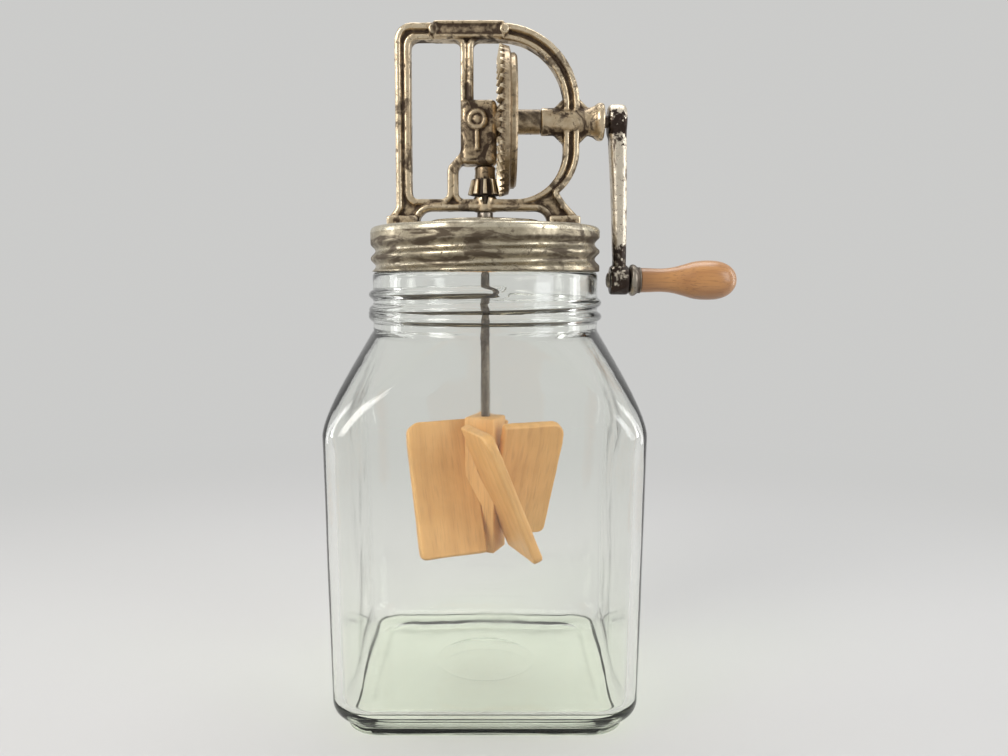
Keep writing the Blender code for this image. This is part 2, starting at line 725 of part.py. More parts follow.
def bearing_block():
    low = (-BLOCK_LEFT, -BLOCK_DEPTH / 2, SHAFT_HEIGHT - BLOCK_BELOW_SHAFT)
    high = (BLOCK_RIGHT, BLOCK_DEPTH / 2, SHAFT_HEIGHT + BLOCK_ABOVE_SHAFT)
    return block("block", low, high, BLOCK_EDGE)


def rosette():
    """A plain ringed boss on the block's front face."""
    front = BLOCK_DEPTH / 2
    dish = ROSETTE_RISE / 2
    profile = [
        (ROSETTE_RADIUS, front - JOIN_DEPTH),
        (ROSETTE_RADIUS, front + ROSETTE_RISE / 2),
        (ROSETTE_RADIUS * 0.8, front + ROSETTE_RISE),
        (ROSETTE_DISH_RADIUS * 1.3, front + ROSETTE_RISE),
        (ROSETTE_DISH_RADIUS, front + ROSETTE_RISE - dish),
    ]
    boss = turned("rosette", profile)
    return place(boss, None, (-ROSETTE_LEFT, 0, SHAFT_HEIGHT), (math.pi / 2, 0, 0))


def stem():
    front = -BLOCK_DEPTH / 2
    top = SHAFT_HEIGHT - ROSETTE_RADIUS / 2
    low = (-ROSETTE_LEFT - STEM_WIDTH / 2, front - STEM_RISE, top - STEM_LENGTH)
    high = (-ROSETTE_LEFT + STEM_WIDTH / 2, front + JOIN_DEPTH, top)
    return block("stem", low, high, 0)


def block_hub():
    end = GEAR_RIM_BACK - TOUCH_GAP
    hub = rod("hub", BLOCK_HUB_RADIUS, BLOCK_RIGHT - BLOCK_EDGE - JOIN_DEPTH, end)
    return along_x(place(hub, None, (0, 0, SHAFT_HEIGHT)))


def bearing_boss():
    profile = [
        (BEARING_RADIUS, BEARING_START),
        (BEARING_RADIUS, BEARING_FLARE_START),
        (BEARING_FLARE_RADIUS, BEARING_FLARE_START + BEARING_FLARE_RADIUS - BEARING_RADIUS),
        (BEARING_FLARE_RADIUS, BEARING_END),
    ]
    return along_x(place(turned("boss", profile), None, (0, 0, SHAFT_HEIGHT)))


def rod_boss():
    low = BASE_BAR_BOTTOM - ROD_BOSS_DROP
    return rod("rod_boss", ROD_BOSS_RADIUS, low, PINION_BOTTOM_Z - TOUCH_GAP - FRAME_Z)


def rod_notch():
    """The wedge-shaped opening in front of the rod boss, which shows the rod."""
    top = PINION_BOTTOM_Z - FRAME_Z + CUT_OVERRUN
    bottom = BASE_BAR_TOP - NOTCH_DEPTH / 2
    front = -ROD_BOSS_RADIUS - CUT_OVERRUN
    rings = []
    for y in (front, -ROD_RADIUS / 2):
        rings.append(
            [
                Vector((-NOTCH_BOTTOM_WIDTH / 2, y, bottom)),
                Vector((NOTCH_BOTTOM_WIDTH / 2, y, bottom)),
                Vector((NOTCH_TOP_WIDTH / 2, y, top)),
                Vector((-NOTCH_TOP_WIDTH / 2, y, top)),
            ]
        )
    return add_mesh("notch", bridge_rings(bmesh.new(), rings))


def bare_plate():
    """The raised plate on the top bar, with rolled ends and nothing on it."""
    front = FRAME_DEPTH / 2 + PLATE_PROUD
    top = FRAME_TOP + PLATE_ABOVE_BAR
    low = (-PLATE_LEFT, -front, top - PLATE_HEIGHT)
    return block("plate", low, (PLATE_RIGHT, front, top), PLATE_PROUD / 2)


def plate_ends():
    length = FRAME_DEPTH + 2 * PLATE_PROUD + PLATE_PROUD
    middle = FRAME_TOP + PLATE_ABOVE_BAR - PLATE_HEIGHT / 2
    for x in (-PLATE_LEFT, PLATE_RIGHT):
        end = rod("plate_end", PLATE_END_RADIUS, -length / 2, length / 2, 10)
        yield place(end, None, (x, 0, middle), (math.pi / 2, 0, 0))


def frame_bores():
    """Cutters for the shaft, the rod's guide and socket, and the foot screws."""
    shaft = rod("bore", SHAFT_RADIUS + RUN_GAP, -SHAFT_LEFT_END - TOUCH_GAP, BEARING_END + CUT_OVERRUN)
    yield along_x(place(shaft, None, (0, 0, SHAFT_HEIGHT)))
    hole = ROD_RADIUS + RUN_GAP
    block_bottom = SHAFT_HEIGHT - BLOCK_BELOW_SHAFT
    yield rod("bore", hole, -CUT_OVERRUN, BASE_BAR_TOP + CUT_OVERRUN + CUT_OVERRUN)
    yield rod("bore", hole, block_bottom - CUT_OVERRUN, block_bottom + ROD_SOCKET_DEPTH)
    for x, y in screw_places():
        hole = rod("bore", SCREW_SHANK_RADIUS + RUN_GAP, -CUT_OVERRUN, SCREW_BITE + TOUCH_GAP, 12)
        yield place(hole, None, (x, y, 0))


def make_frame(coat, parent):
    loops = [frame_outline(), left_window(), gear_window()]
    frame = plate_of("gear_frame", loops, FRAME_DEPTH, BAR_EDGE)
    joined = frame_pads() + [bearing_block(), block_hub(), bearing_boss(), rod_boss()]
    joined += [rosette(), stem(), bare_plate(), *plate_ends()]
    for piece in joined:
        combine(frame, piece, "UNION")
    combine(frame, rod_notch(), "DIFFERENCE")
    for bore in frame_bores():
        combine(frame, bore, "DIFFERENCE")
    finish(place(frame, parent), coat)


# Bevel gears, turned about Z with the cones' apex at the origin
def tooth_station(along, across):
    """A point (radius, distance from apex) on the pinion's side, along and across the pitch line."""
    return along * CONE_ALONG + across * CONE_ACROSS


def toothed_ring(teeth, along, top, root, pitch_radius, swap, phase):
    """Four points for each tooth, at one end of the teeth."""
    pitch_angle = 2 * math.pi / teeth
    play = TOOTH_SIDE_PLAY / 2 / pitch_radius
    points = []
    for tooth in range(teeth):
        middle = (tooth + phase) * pitch_angle
        for across, side in ((root, -1), (top, -1), (top, 1), (root, 1)):
            lean = abs(across) * math.tan(FLANK_ANGLE) / pitch_radius
            outward = across if not swap else -across
            half = pitch_angle / 4 - play - (lean if outward * CONE_ALONG.y > 0 else -lean)
            spot = tooth_station(along, across)
            radius, height = (spot.y, spot.x) if not swap else (spot.x, -spot.y)
            angle = middle + side * half
            points.append(Vector((radius * math.cos(angle), radius * math.sin(angle), height)))
    return points


def plain_ring(teeth, station, phase):
    """One point for each tooth, under its middle."""
    radius, height = station
    angles = [(tooth + phase) * 2 * math.pi / teeth for tooth in range(teeth)]
    return [Vector((radius * math.cos(a), radius * math.sin(a), height)) for a in angles]


def rim_ring(teeth, station, phase, play_radius, lean):
    """Two points for each tooth, under its root corners."""
    pitch_angle = 2 * math.pi / teeth
    half = pitch_angle / 4 - TOOTH_SIDE_PLAY / 2 / play_radius + lean / play_radius
    radius, height = station
    points = []
    for tooth in range(teeth):
        for side in (-1, 1):
            angle = (tooth + phase) * pitch_angle + side * half
            points.append(Vector((radius * math.cos(angle), radius * math.sin(angle), height)))
    return points


def toothed_body(name, teeth, ends, rims):
    """Teeth between two toothed rings, closed by rings of two points for each tooth."""
    bm = bmesh.new()
    outer, inner = [[bm.verts.new(p) for p in ring] for ring in ends]
    loops = [[bm.verts.new(p) for p in ring] for ring in rims]
    for i in range(4 * teeth):
        j = (i + 1) % (4 * teeth)
        bm.faces.new((outer[i], outer[j], inner[j], inner[i]))
    for toothed, rim in ((outer, loops[0]), (inner, loops[-1])):
        for tooth in range(teeth):
            first = 4 * tooth
            a, b = rim[2 * tooth], rim[2 * tooth + 1]
            after = (first + 4) % (4 * teeth)
            bm.faces.new((*toothed[first : first + 4], b, a))
            bm.faces.new((toothed[first + 3], toothed[after], rim[(2 * tooth + 2) % (2 * teeth)], b))
    for first, second in zip(loops, loops[1:]):
        bridge_rims(bm, first, second)
    return add_mesh(name, bm)


def bridge_rims(bm, first, second):
    """Faces between two rings, of which one may have half the points of the other."""
    if len(first) < len(second):
        first, second = second, first
    count = len(first)
    for i in range(count):
        j = (i + 1) % count
        if len(second) == count:
            bm.faces.new((first[i], first[j], second[j], second[i]))
        elif i % 2:
            bm.faces.new((first[i], first[j], second[j // 2], second[i // 2]))
        else:
            bm.faces.new((first[i], first[j], second[i // 2]))


def make_gear(coat, parent):
    """The shaft's gear, made about Z and laid along X. Its teeth face the block."""
    along = GEAR_RADIUS / CONE_ALONG.y
    lean = ROOT_GEAR * math.tan(FLANK_ANGLE)
    bore = SHAFT_RADIUS + RUN_GAP
    stations = [
        (GEAR_RADIUS - GEAR_RIM_DRAFT, GEAR_RIM_BACK - GEAR_RIM_DRAFT),
        (GEAR_DISC_RADIUS, GEAR_RIM_BACK),
        (GEAR_DISC_RADIUS, GEAR_DISC_BACK - GEAR_DISC_ROUND),
        (GEAR_DISC_RADIUS - GEAR_DISC_ROUND, GEAR_DISC_BACK),
        (GEAR_HUB_RADIUS, GEAR_DISC_BACK),
        (GEAR_HUB_RADIUS, BEARING_START - TOUCH_GAP),
        (bore, BEARING_START - TOUCH_GAP),
        (bore, GEAR_RIM_BACK),
        (GEAR_RIM_INNER_RADIUS, GEAR_RIM_BACK),
    ]
    ends = []
    for share in (1, FACE_SHARE):
        ring = toothed_ring(
            GEAR_TEETH,
            share * along,
            share * TOOTH_TOP_GEAR,
            -share * ROOT_GEAR,
            share * GEAR_RADIUS,
            False,
            0,
        )
        ends.append(ring)
    rims = [plain_ring(GEAR_TEETH, station, 0) for station in stations]
    for end in (0, -1):
        rims[end] = rim_ring(GEAR_TEETH, stations[end], 0, GEAR_RADIUS, lean)
    gear = toothed_body("drive_gear", GEAR_TEETH, ends, rims)
    along_x(place(gear, parent))
    combine(gear, cross_pin("pin_hole", gear_pin_x(), GEAR_HUB_RADIUS, RUN_GAP, parent), "DIFFERENCE")
    finish(gear, coat)


def gear_pin_x():
    return (GEAR_DISC_BACK + BEARING_START) / 2


def cross_pin(name, x, reach, gap, parent):
    """A pin across the shaft, or with a gap the cutter for its hole."""
    length = reach + (CUT_OVERRUN if gap else -TOUCH_GAP)
    pin = rod(name, CROSS_PIN_RADIUS + gap, -length, length, 12)
    return place(pin, parent, (x, 0, 0))


def make_pinion(coat, pin_coat, parent):
    """The rod's pinion, with a gap between its teeth facing the gear."""
    along = PINION_LOW / CONE_ALONG.y
    pitch_radius = PINION_LOW * PITCH_SLOPE
    lean = ROOT_PINION * math.tan(FLANK_ANGLE)
    bore = ROD_RADIUS + RUN_GAP
    hub_top = -BLOCK_BELOW_SHAFT - TOUCH_GAP
    low = -PINION_LOW - ROOT_PINION * CONE_ACROSS.y
    ends = []
    for share in (1, FACE_SHARE):
        ring = toothed_ring(
            PINION_TEETH,
            share * along,
            -share * TOOTH_TOP_PINION,
            share * ROOT_PINION,
            share * pitch_radius,
            True,
            0.5,
        )
        ends.append(ring)
    shoulder = -FACE_SHARE * PINION_LOW + PINION_HUB_ROUND
    stations = [
        (PINION_HUB_RADIUS, low),
        (bore, low),
        (bore, hub_top),
        (PINION_HUB_RADIUS - PINION_HUB_ROUND, hub_top),
        (PINION_HUB_RADIUS, hub_top - PINION_HUB_ROUND),
        (PINION_HUB_RADIUS, shoulder),
    ]
    rims = [rim_ring(PINION_TEETH, station, 0.5, pitch_radius, lean) for station in stations]
    pinion = place(toothed_body("pinion", PINION_TEETH, ends, rims), parent)
    pin_z = (hub_top + shoulder) / 2
    for name, gap in (("pin_hole", RUN_GAP), ("pinion_pin", 0)):
        length = PINION_HUB_RADIUS + (CUT_OVERRUN if gap else -TOUCH_GAP)
        pin = rod(name, CROSS_PIN_RADIUS + gap, -length, length, 12)
        place(pin, parent, (0, 0, pin_z), (0, math.pi / 2, 0))
        if gap:
            combine(pinion, pin, "DIFFERENCE")
        else:
            finish(pin, pin_coat)
    finish(pinion, coat)
    return pin_z


# Shaft and crank, with the origin where the shaft's axis crosses the rod's
def make_shaft(coat, pin_coat, parent):
    end = CRANK_HEAD_START + SHAFT_SEAT_DEPTH - TOUCH_GAP
    shaft = along_x(place(rod("drive_shaft", SHAFT_RADIUS, -SHAFT_LEFT_END, end), parent))
    for x, reach in ((gear_pin_x(), GEAR_HUB_RADIUS), (crank_pin_x(), CRANK_HEAD_RADIUS)):
        combine(shaft, cross_pin("pin_hole", x, reach, RUN_GAP, parent), "DIFFERENCE")
    finish(shaft, coat)
    finish(cross_pin("gear_pin", gear_pin_x(), GEAR_HUB_RADIUS, 0, parent), pin_coat)


def crank_pin_x():
    return CRANK_HEAD_START + SHAFT_SEAT_DEPTH / 2


def crank_pin(name, gap, parent):
    """A pin driven in from the top of the crank's head."""
    tip = -SHAFT_RADIUS - CROSS_PIN_RADIUS - gap
    top = CRANK_HEAD_RADIUS + (CUT_OVERRUN if gap else -TOUCH_GAP)
    return place(rod(name, CROSS_PIN_RADIUS + gap, tip, top, 12), parent, (crank_pin_x(), 0, 0))


def cheek(name, radius, start, end, height):
    """A round end of the crank, with its rims broken."""
    profile = [
        (radius - CRANK_EDGE, start),
        (radius, start + CRANK_EDGE),
        (radius, end - CRANK_EDGE),
        (radius - CRANK_EDGE, end),
    ]
    return along_x(place(turned(name, profile), None, (0, 0, height)))


def arm_ring(share):
    """A section of the arm, share of the way from the head to the lug."""
    thickness = ARM_TOP_THICKNESS + share * (ARM_BOTTOM_THICKNESS - ARM_TOP_THICKNESS)
    width = ARM_TOP_WIDTH + share * (ARM_BOTTOM_WIDTH - ARM_TOP_WIDTH)
    middle = ARM_TOP_CENTRE + share * (ARM_BOTTOM_CENTRE - ARM_TOP_CENTRE)
    ring = []
    for step in range(12):
        angle = 2 * math.pi * (step + 0.5) / 12
        x, y = math.cos(angle), math.sin(angle)
        # A squared-off oval: each side is pushed out towards its box.
        x = math.copysign(abs(x) ** 0.6, x)
        y = math.copysign(abs(y) ** 0.6, y)
        spot = (middle + thickness / 2 * x, width / 2 * y, -share * CRANK_THROW)
        ring.append(Vector(spot))
    return ring


def make_crank(coat, pin_coat, parent):
    start = 0.04
    span = 0.97 - start
    rings = [arm_ring(start + span * i / ARM_LEVELS) for i in range(ARM_LEVELS + 1)]
    arm = add_mesh("crank_arm", bridge_rings(bmesh.new(), rings))
    ends = (
        ("head", CRANK_HEAD_RADIUS, CRANK_HEAD_START, CRANK_HEAD_END, 0),
        ("lug", CRANK_LUG_RADIUS, CRANK_LUG_START, CRANK_LUG_END, -CRANK_THROW),
    )
    for end in ends:
        combine(arm, cheek(*end), "UNION")
    seat_end = CRANK_HEAD_START + SHAFT_SEAT_DEPTH
    seat = rod("seat", SHAFT_RADIUS + RUN_GAP, CRANK_HEAD_START - CUT_OVERRUN, seat_end)
    combine(arm, along_x(seat), "DIFFERENCE")
    eye_start = CRANK_LUG_START - CUT_OVERRUN
    eye = rod("eye", SPINDLE_RADIUS + RUN_GAP, eye_start, CRANK_LUG_END + CUT_OVERRUN)
    combine(arm, along_x(place(eye, None, (0, 0, -CRANK_THROW))), "DIFFERENCE")
    combine(arm, crank_pin("pin_hole", RUN_GAP, None), "DIFFERENCE")
    finish(place(arm, parent), coat)
    finish(crank_pin("crank_pin", 0, parent), pin_coat)


# Spindle, ferrule and grip, with the origin on the spindle's axis
def make_spindle(coat, parent):
    head = CRANK_LUG_START - TOUCH_GAP
    profile = [
        (SPINDLE_HEAD_RADIUS * 0.6, head - SPINDLE_HEAD_HEIGHT),
        (SPINDLE_HEAD_RADIUS, head - SPINDLE_HEAD_HEIGHT / 3),
        (SPINDLE_HEAD_RADIUS, head),
        (SPINDLE_RADIUS, head),
        (SPINDLE_RADIUS, SPINDLE_END),
    ]
    finish(along_x(place(turned("handle_spindle", profile), parent, (0, 0, -CRANK_THROW))), coat)


def make_ferrule(coat, parent):
    start = CRANK_LUG_END + TOUCH_GAP
    end = start + FERRULE_LENGTH
    bore = SPINDLE_RADIUS + RUN_GAP
    profile = [
        (bore, start),
        (FERRULE_END_RADIUS, start),
        (FERRULE_RADIUS, start + FERRULE_LENGTH * 0.3),
        (FERRULE_RADIUS, start + FERRULE_LENGTH * 0.65),
        (FERRULE_END_RADIUS, end),
        (bore, end),
    ]
    finish(along_x(place(turned("handle_ferrule", profile, closed=True), parent)), coat)


def grip_radius(share):
    """The turned outline: a slim waist, a full belly and a round end."""
    neck = FERRULE_END_RADIUS / GRIP_RADIUS
    if share < 0.62:
        belly = 0.5 - 0.5 * math.cos(math.pi * max(0, share - 0.2) / 0.42)
        waist = neck + (GRIP_WAIST_SHARE - neck) * min(1, share / 0.2)
        return waist + (1 - waist) * belly
    return math.sqrt(max(0, 1 - ((share - 0.62) / 0.38) ** 2.3))


def make_grip(coat, parent):
    start = CRANK_LUG_END + FERRULE_LENGTH + 2 * TOUCH_GAP
    length = GRIP_END - start
    bore = SPINDLE_RADIUS + RUN_GAP
    shares = [0, 0.1, 0.2, 0.29, 0.38, 0.46, 0.54, 0.62, 0.71, 0.8, 0.88, 0.94, 0.98, 0.997]
    profile = [(GRIP_RADIUS * grip_radius(share), start + length * share) for share in shares]
    grip = along_x(place(turned("wood_handle", profile, GRIP_FACETS), parent))
    hole = rod("hole", bore, start - CUT_OVERRUN, SPINDLE_END + TOUCH_GAP)
    combine(grip, along_x(place(hole, parent)), "DIFFERENCE")
    finish(grip, coat)


# Dasher, with the origin on the rod's axis at the shaft's height
def make_rod(coat, parent, pinion_pin_z):
    top = -BLOCK_BELOW_SHAFT + ROD_SOCKET_DEPTH - TOUCH_GAP
    dasher_rod = place(rod("dasher_rod", ROD_RADIUS, ROD_END - SHAFT_Z, top), parent)
    hole = rod("pin_hole", CROSS_PIN_RADIUS + RUN_GAP, -ROD_SOCKET_DEPTH, ROD_SOCKET_DEPTH, 12)
    place(hole, parent, (0, 0, pinion_pin_z), (0, math.pi / 2, 0))
    combine(dasher_rod, hole, "DIFFERENCE")
    combine(dasher_rod, hub_pin("pin_hole", RUN_GAP, parent), "DIFFERENCE")
    finish(dasher_rod, coat)


def hub_pin(name, gap, parent):
    length = HUB_WIDTH / 2 + (CUT_OVERRUN if gap else -TOUCH_GAP)
    pin = rod(name, HUB_PIN_RADIUS + gap, -length, length, 12)
    turn = DASHER_TURN - math.pi / 4
    place(pin, parent, (0, 0, HUB_PIN_HEIGHT - SHAFT_Z), (0, math.pi / 2, turn))
    return pin


def blade_mesh(name, gap):
    """A blade with X along its reach, or with a gap the cutter for its slot."""
    half = BLADE_HEIGHT / 2 + gap
    root = BLADE_ROOT - gap
    reach = BLADE_REACH + gap
    outline = filleted(
        [
            (root, -half, 0),
            (root, half, 0),
            (reach, half, BLADE_TOP_RADIUS),
            (reach, -half, BLADE_FOOT_RADIUS),
        ]
    )
    return plate_of(name, [outline], BLADE_THICKNESS + 2 * gap, 0 if gap else BLADE_EDGE)


def place_blade(obj, number, parent):
    angle = DASHER_TURN - math.pi / 2 + number * 2 * math.pi / BLADE_COUNT
    height = BLADE_CENTRE_HEIGHT - SHAFT_Z
    return place(obj, parent, (0, 0, height), (BLADE_TILT, 0, angle))


def make_dasher(coat, pin_coat, parent):
    half = HUB_WIDTH / 2
    low, high = HUB_BOTTOM - SHAFT_Z, HUB_TOP - SHAFT_Z
    hub = block("dasher_hub", (-half, -half, low), (half, half, high), HUB_EDGE)
    place(hub, parent, (0, 0, 0), (0, 0, DASHER_TURN - math.pi / 4))
    bore = rod("bore", ROD_RADIUS + RUN_GAP, ROD_END - SHAFT_Z - TOUCH_GAP, high + CUT_OVERRUN)
    combine(hub, place(bore, parent), "DIFFERENCE")
    combine(hub, hub_pin("pin_hole", RUN_GAP, parent), "DIFFERENCE")
    for number in range(BLADE_COUNT):
        slot = place_blade(blade_mesh("slot", TOUCH_GAP), number, parent)
        combine(hub, slot, "DIFFERENCE")
        blade = blade_mesh(f"dasher_blade_{number + 1}", 0)
        finish(place_blade(blade, number, parent), coat)
    finish(hub, coat)
    finish(hub_pin("hub_pin", 0, parent), pin_coat)


def main():
    clear_scene()
    glass = material("clear glass", (0.80, 0.88, 0.84), 0.03, transmission=1.0)
    tin = material("tinned steel", (0.62, 0.60, 0.54), 0.38, 1.0)
    cast = material("worn plated casting", (0.46, 0.40, 0.33), 0.42, 1.0)
    bronze = material("aged gear metal", (0.38, 0.31, 0.23), 0.45, 1.0)
    steel = material("dark steel", (0.30, 0.28, 0.26), 0.40, 1.0)
    grip_wood = material("varnished wood", (0.62, 0.30, 0.11), 0.35)
    pale_wood = material("honey wood", (0.80, 0.52, 0.25), 0.55)

    lid_seat = pivot("lid_seat", (0, 0, HEM_Z))
    frame_seat = pivot("frame_seat", (0, 0, FRAME_Z - HEM_Z), lid_seat)
    crank_axis = pivot("crank_axis", (0, 0, SHAFT_HEIGHT), frame_seat)
    grip_axis = pivot("grip_axis", (0, 0, -CRANK_THROW), crank_axis)
    dasher_axis = pivot("dasher_axis", (0, 0, SHAFT_HEIGHT), frame_seat)

    make_jar(glass)
    make_lid(tin, lid_seat)
    make_screws(steel, lid_seat)
    make_bush(steel, lid_seat)
    make_frame(cast, frame_seat)
    make_shaft(steel, steel, crank_axis)
    make_gear(bronze, crank_axis)
    make_crank(cast, steel, crank_axis)
    make_spindle(steel, crank_axis)
    make_ferrule(bronze, grip_axis)
    make_grip(grip_wood, grip_axis)
    pinion_pin_z = make_pinion(bronze, steel, dasher_axis)
    make_rod(steel, dasher_axis, pinion_pin_z)
    make_dasher(pale_wood, steel, dasher_axis)


main()
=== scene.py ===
# %% [markdown]
# # A hand-cranked butter churn
# A square glass jar carries a tinned lid, a cast gear frame, a crank with a turned grip and a
# wooden dasher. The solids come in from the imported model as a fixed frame, in metres. Each cell
# below makes one piece or one finish on top of that frame.

# %% Load the frame
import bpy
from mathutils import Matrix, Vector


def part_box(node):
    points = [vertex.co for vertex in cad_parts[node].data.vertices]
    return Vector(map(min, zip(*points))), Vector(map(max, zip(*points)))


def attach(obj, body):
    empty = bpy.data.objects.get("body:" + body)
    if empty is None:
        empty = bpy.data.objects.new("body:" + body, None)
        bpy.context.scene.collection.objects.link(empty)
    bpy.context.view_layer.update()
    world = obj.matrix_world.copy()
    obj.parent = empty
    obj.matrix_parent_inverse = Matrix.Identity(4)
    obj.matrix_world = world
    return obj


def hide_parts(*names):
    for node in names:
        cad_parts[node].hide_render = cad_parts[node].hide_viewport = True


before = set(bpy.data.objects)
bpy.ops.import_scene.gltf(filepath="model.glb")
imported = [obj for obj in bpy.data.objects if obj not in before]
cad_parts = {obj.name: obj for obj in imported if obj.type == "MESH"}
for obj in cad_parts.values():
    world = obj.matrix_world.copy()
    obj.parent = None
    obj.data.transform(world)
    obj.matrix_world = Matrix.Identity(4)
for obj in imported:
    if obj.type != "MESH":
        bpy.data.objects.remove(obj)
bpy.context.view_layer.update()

import math
from contextlib import contextmanager
from functools import partial

import bpy
import numpy as np
from mathutils import Matrix, Vector, noise

# %% [markdown]
# ## Camera
# The photo was taken a little above the lid's rim and close to the jar, so its verticals lean.
# A camera could be placed by eye, but fitting the jar's foot, neck and frame in the photo gives
# the distance, the height and the lens at once. The lens is the fitted focal length in pixels,
# turned into millimetres on the sensor, and the shift is how far the axis lies from the middle.

# %% Camera
PHOTO_WIDTH, AXIS_PIXEL, FOCAL_PIXELS = 1008, 488.5, 850.2
SENSOR_WIDTH = 36
CAMERA_PLACE, CAMERA_PITCH = (0.0018, -0.4622, 0.2214), 0.113


def place_new(name, data):
    """A new object round some data, in the scene."""
    made = bpy.data.objects.new(name, data)
    bpy.context.scene.collection.objects.link(made)
    return made


camera = place_new("photo_camera", bpy.data.cameras.new("photo_camera"))
camera.data.sensor_width = SENSOR_WIDTH
camera.data.lens = FOCAL_PIXELS / PHOTO_WIDTH * SENSOR_WIDTH
camera.data.shift_x = (PHOTO_WIDTH / 2 - AXIS_PIXEL) / PHOTO_WIDTH
camera.data.clip_start = 0.01
camera.location = CAMERA_PLACE
camera.rotation_euler = (math.pi / 2 - CAMERA_PITCH, 0, 0)
bpy.context.scene.camera = camera
print("lens", round(camera.data.lens, 2), "mm")

# %% [markdown]
# ## Node helpers
# A finish is a tree of small nodes. Each could be made and linked line by line, but a few helpers
# keep that readable: a socket that gets another socket is linked to it, and one that gets a number
# or a colour is set.

# %% Node helpers
def feed(socket, value):
    """Links a socket to another one, or sets it. A colour gets its alpha here."""
    if isinstance(value, bpy.types.NodeSocket):
        socket.id_data.links.new(value, socket)
    else:
        socket.default_value = (*value, 1) if socket.type == "RGBA" else value


def fill(node, *in_order, **by_name):
    """Fills in a node's settings and sockets by name, and its first sockets in their order."""
    for name, value in by_name.items():
        if hasattr(node, name):
            setattr(node, name, value)
        else:
            feed(node.inputs[name.replace("_", " ")], value)
    for socket, value in zip(node.inputs, in_order):
        feed(socket, value)
    return node


def add_node(tree, kind, *in_order, **by_name):
    return fill(tree.nodes.new("ShaderNode" + kind), *in_order, **by_name)


def new_material(name, **sockets):
    """A material, its node tree and its Principled BSDF with some sockets filled in."""
    material = bpy.data.materials.new(name)
    material.use_nodes = True
    tree = material.node_tree
    return material, tree, fill(tree.nodes["Principled BSDF"], **sockets)


def reckon(operation, *operands, clamp=False):
    """The result of a Math node. Each operand may be a socket or a number."""
    tree = next(o.id_data for o in operands if isinstance(o, bpy.types.NodeSocket))
    made = add_node(tree, "Math", *operands, operation=operation, use_clamp=clamp)
    return made.outputs[0]


def spread(source, low, high, to_low=0.0, to_high=1.0, curve="LINEAR"):
    """Moves source from one range to another and holds it there."""
    values = (source, low, high, to_low, to_high)
    return add_node(source.id_data, "MapRange", *values, interpolation_type=curve).outputs[0]


OPERATIONS = ("ADD", "SUBTRACT", "MULTIPLY", "MAXIMUM")
plus, minus, times, larger = (partial(reckon, operation) for operation in OPERATIONS)
print("node helpers ready")

# %% Node helpers for colour, noise and relief
def ramp(source, *stops):
    """A grey that follows source. Each stop is a place and a grey."""
    made = add_node(source.id_data, "ValToRGB", source)
    elements = made.color_ramp.elements
    while len(elements) < len(stops):
        elements.new(0.5)
    for element, (place, grey) in zip(elements, stops):
        element.position = place
        element.color = (grey, grey, grey, 1)
    return made.outputs[0]


MIX_FIRST, MIX_SECOND, MIX_RESULT = 6, 7, 2


def blend(share, first, second):
    """A colour between first and second. Each may be a socket or a plain colour."""
    made = add_node(share.id_data, "Mix", share, data_type="RGBA")
    feed(made.inputs[MIX_FIRST], first)
    feed(made.inputs[MIX_SECOND], second)
    return made.outputs[MIX_RESULT]


def object_place(tree):
    """Object coordinates, which hold a pattern still on its piece."""
    return add_node(tree, "TexCoord").outputs["Object"]


def clouds(tree, scale, detail, roughness=0.5, distortion=0.0, at=None):
    """Noise round 0.5, at Object coordinates or at another vector."""
    return add_node(
        tree, "TexNoise", at or object_place(tree),
        Scale=scale, Detail=detail, Roughness=roughness, Distortion=distortion,
    ).outputs["Fac"]


def swing(source, amount):
    """Noise that swings to both sides of 0."""
    return times(minus(source, 0.5), amount)


def bumped(height, strength, distance):
    values = {"Height": height, "Strength": strength, "Distance": distance}
    return add_node(height.id_data, "Bump", **values).outputs[0]


print("colour, noise and relief helpers ready")

# %% [markdown]
# ## Floor, light and surroundings
# Glass and worn metal show what is round them more than they show themselves. A pale floor fades
# into a backdrop of nearly the same grey, which reflections and glass show too. For all other light
# the world is darker, so that shadows keep their depth. Three soft boxes give long highlights down
# the jar and the casting, and a narrow strip on each side lights the edges.

# %% Floor
BACKDROP = (0.60, 0.60, 0.59)
FADE_START, FADE_END = 0.16, 0.78
JUST_BELOW = -0.0002


def shown_directly(tree):
    """1 for what the camera sees, directly, in a reflection or through glass, 0 for the rest."""
    rays = add_node(tree, "LightPath").outputs
    either = larger(rays["Is Camera Ray"], rays["Is Glossy Ray"])
    return larger(either, rays["Is Transmission Ray"])


def primitive(name, kind, **settings):
    """Adds a mesh primitive, with everything else deselected."""
    bpy.ops.object.select_all(action="DESELECT")
    getattr(bpy.ops.mesh, f"primitive_{kind}_add")(**settings)
    bpy.context.object.name = name
    return bpy.context.object


floor_finish, tree, shader = new_material(
    "pale floor", Base_Color=(0.62, 0.61, 0.60), Roughness=0.9
)
away = add_node(tree, "VectorMath", object_place(tree), operation="LENGTH").outputs["Value"]
far = spread(away, FADE_START, FADE_END, curve="SMOOTHSTEP")
share = times(far, shown_directly(tree))
glow = add_node(tree, "Emission", Color=BACKDROP)
fade = add_node(tree, "MixShader", share, shader.outputs[0], glow.outputs[0])
fill(tree.nodes["Material Output"], Surface=fade.outputs[0])

floor = primitive("floor", "circle", vertices=96, radius=5, fill_type="NGON")
floor.location.z = JUST_BELOW
floor.data.materials.append(floor_finish)
print("floor fades from", FADE_START, "to", FADE_END, "m")

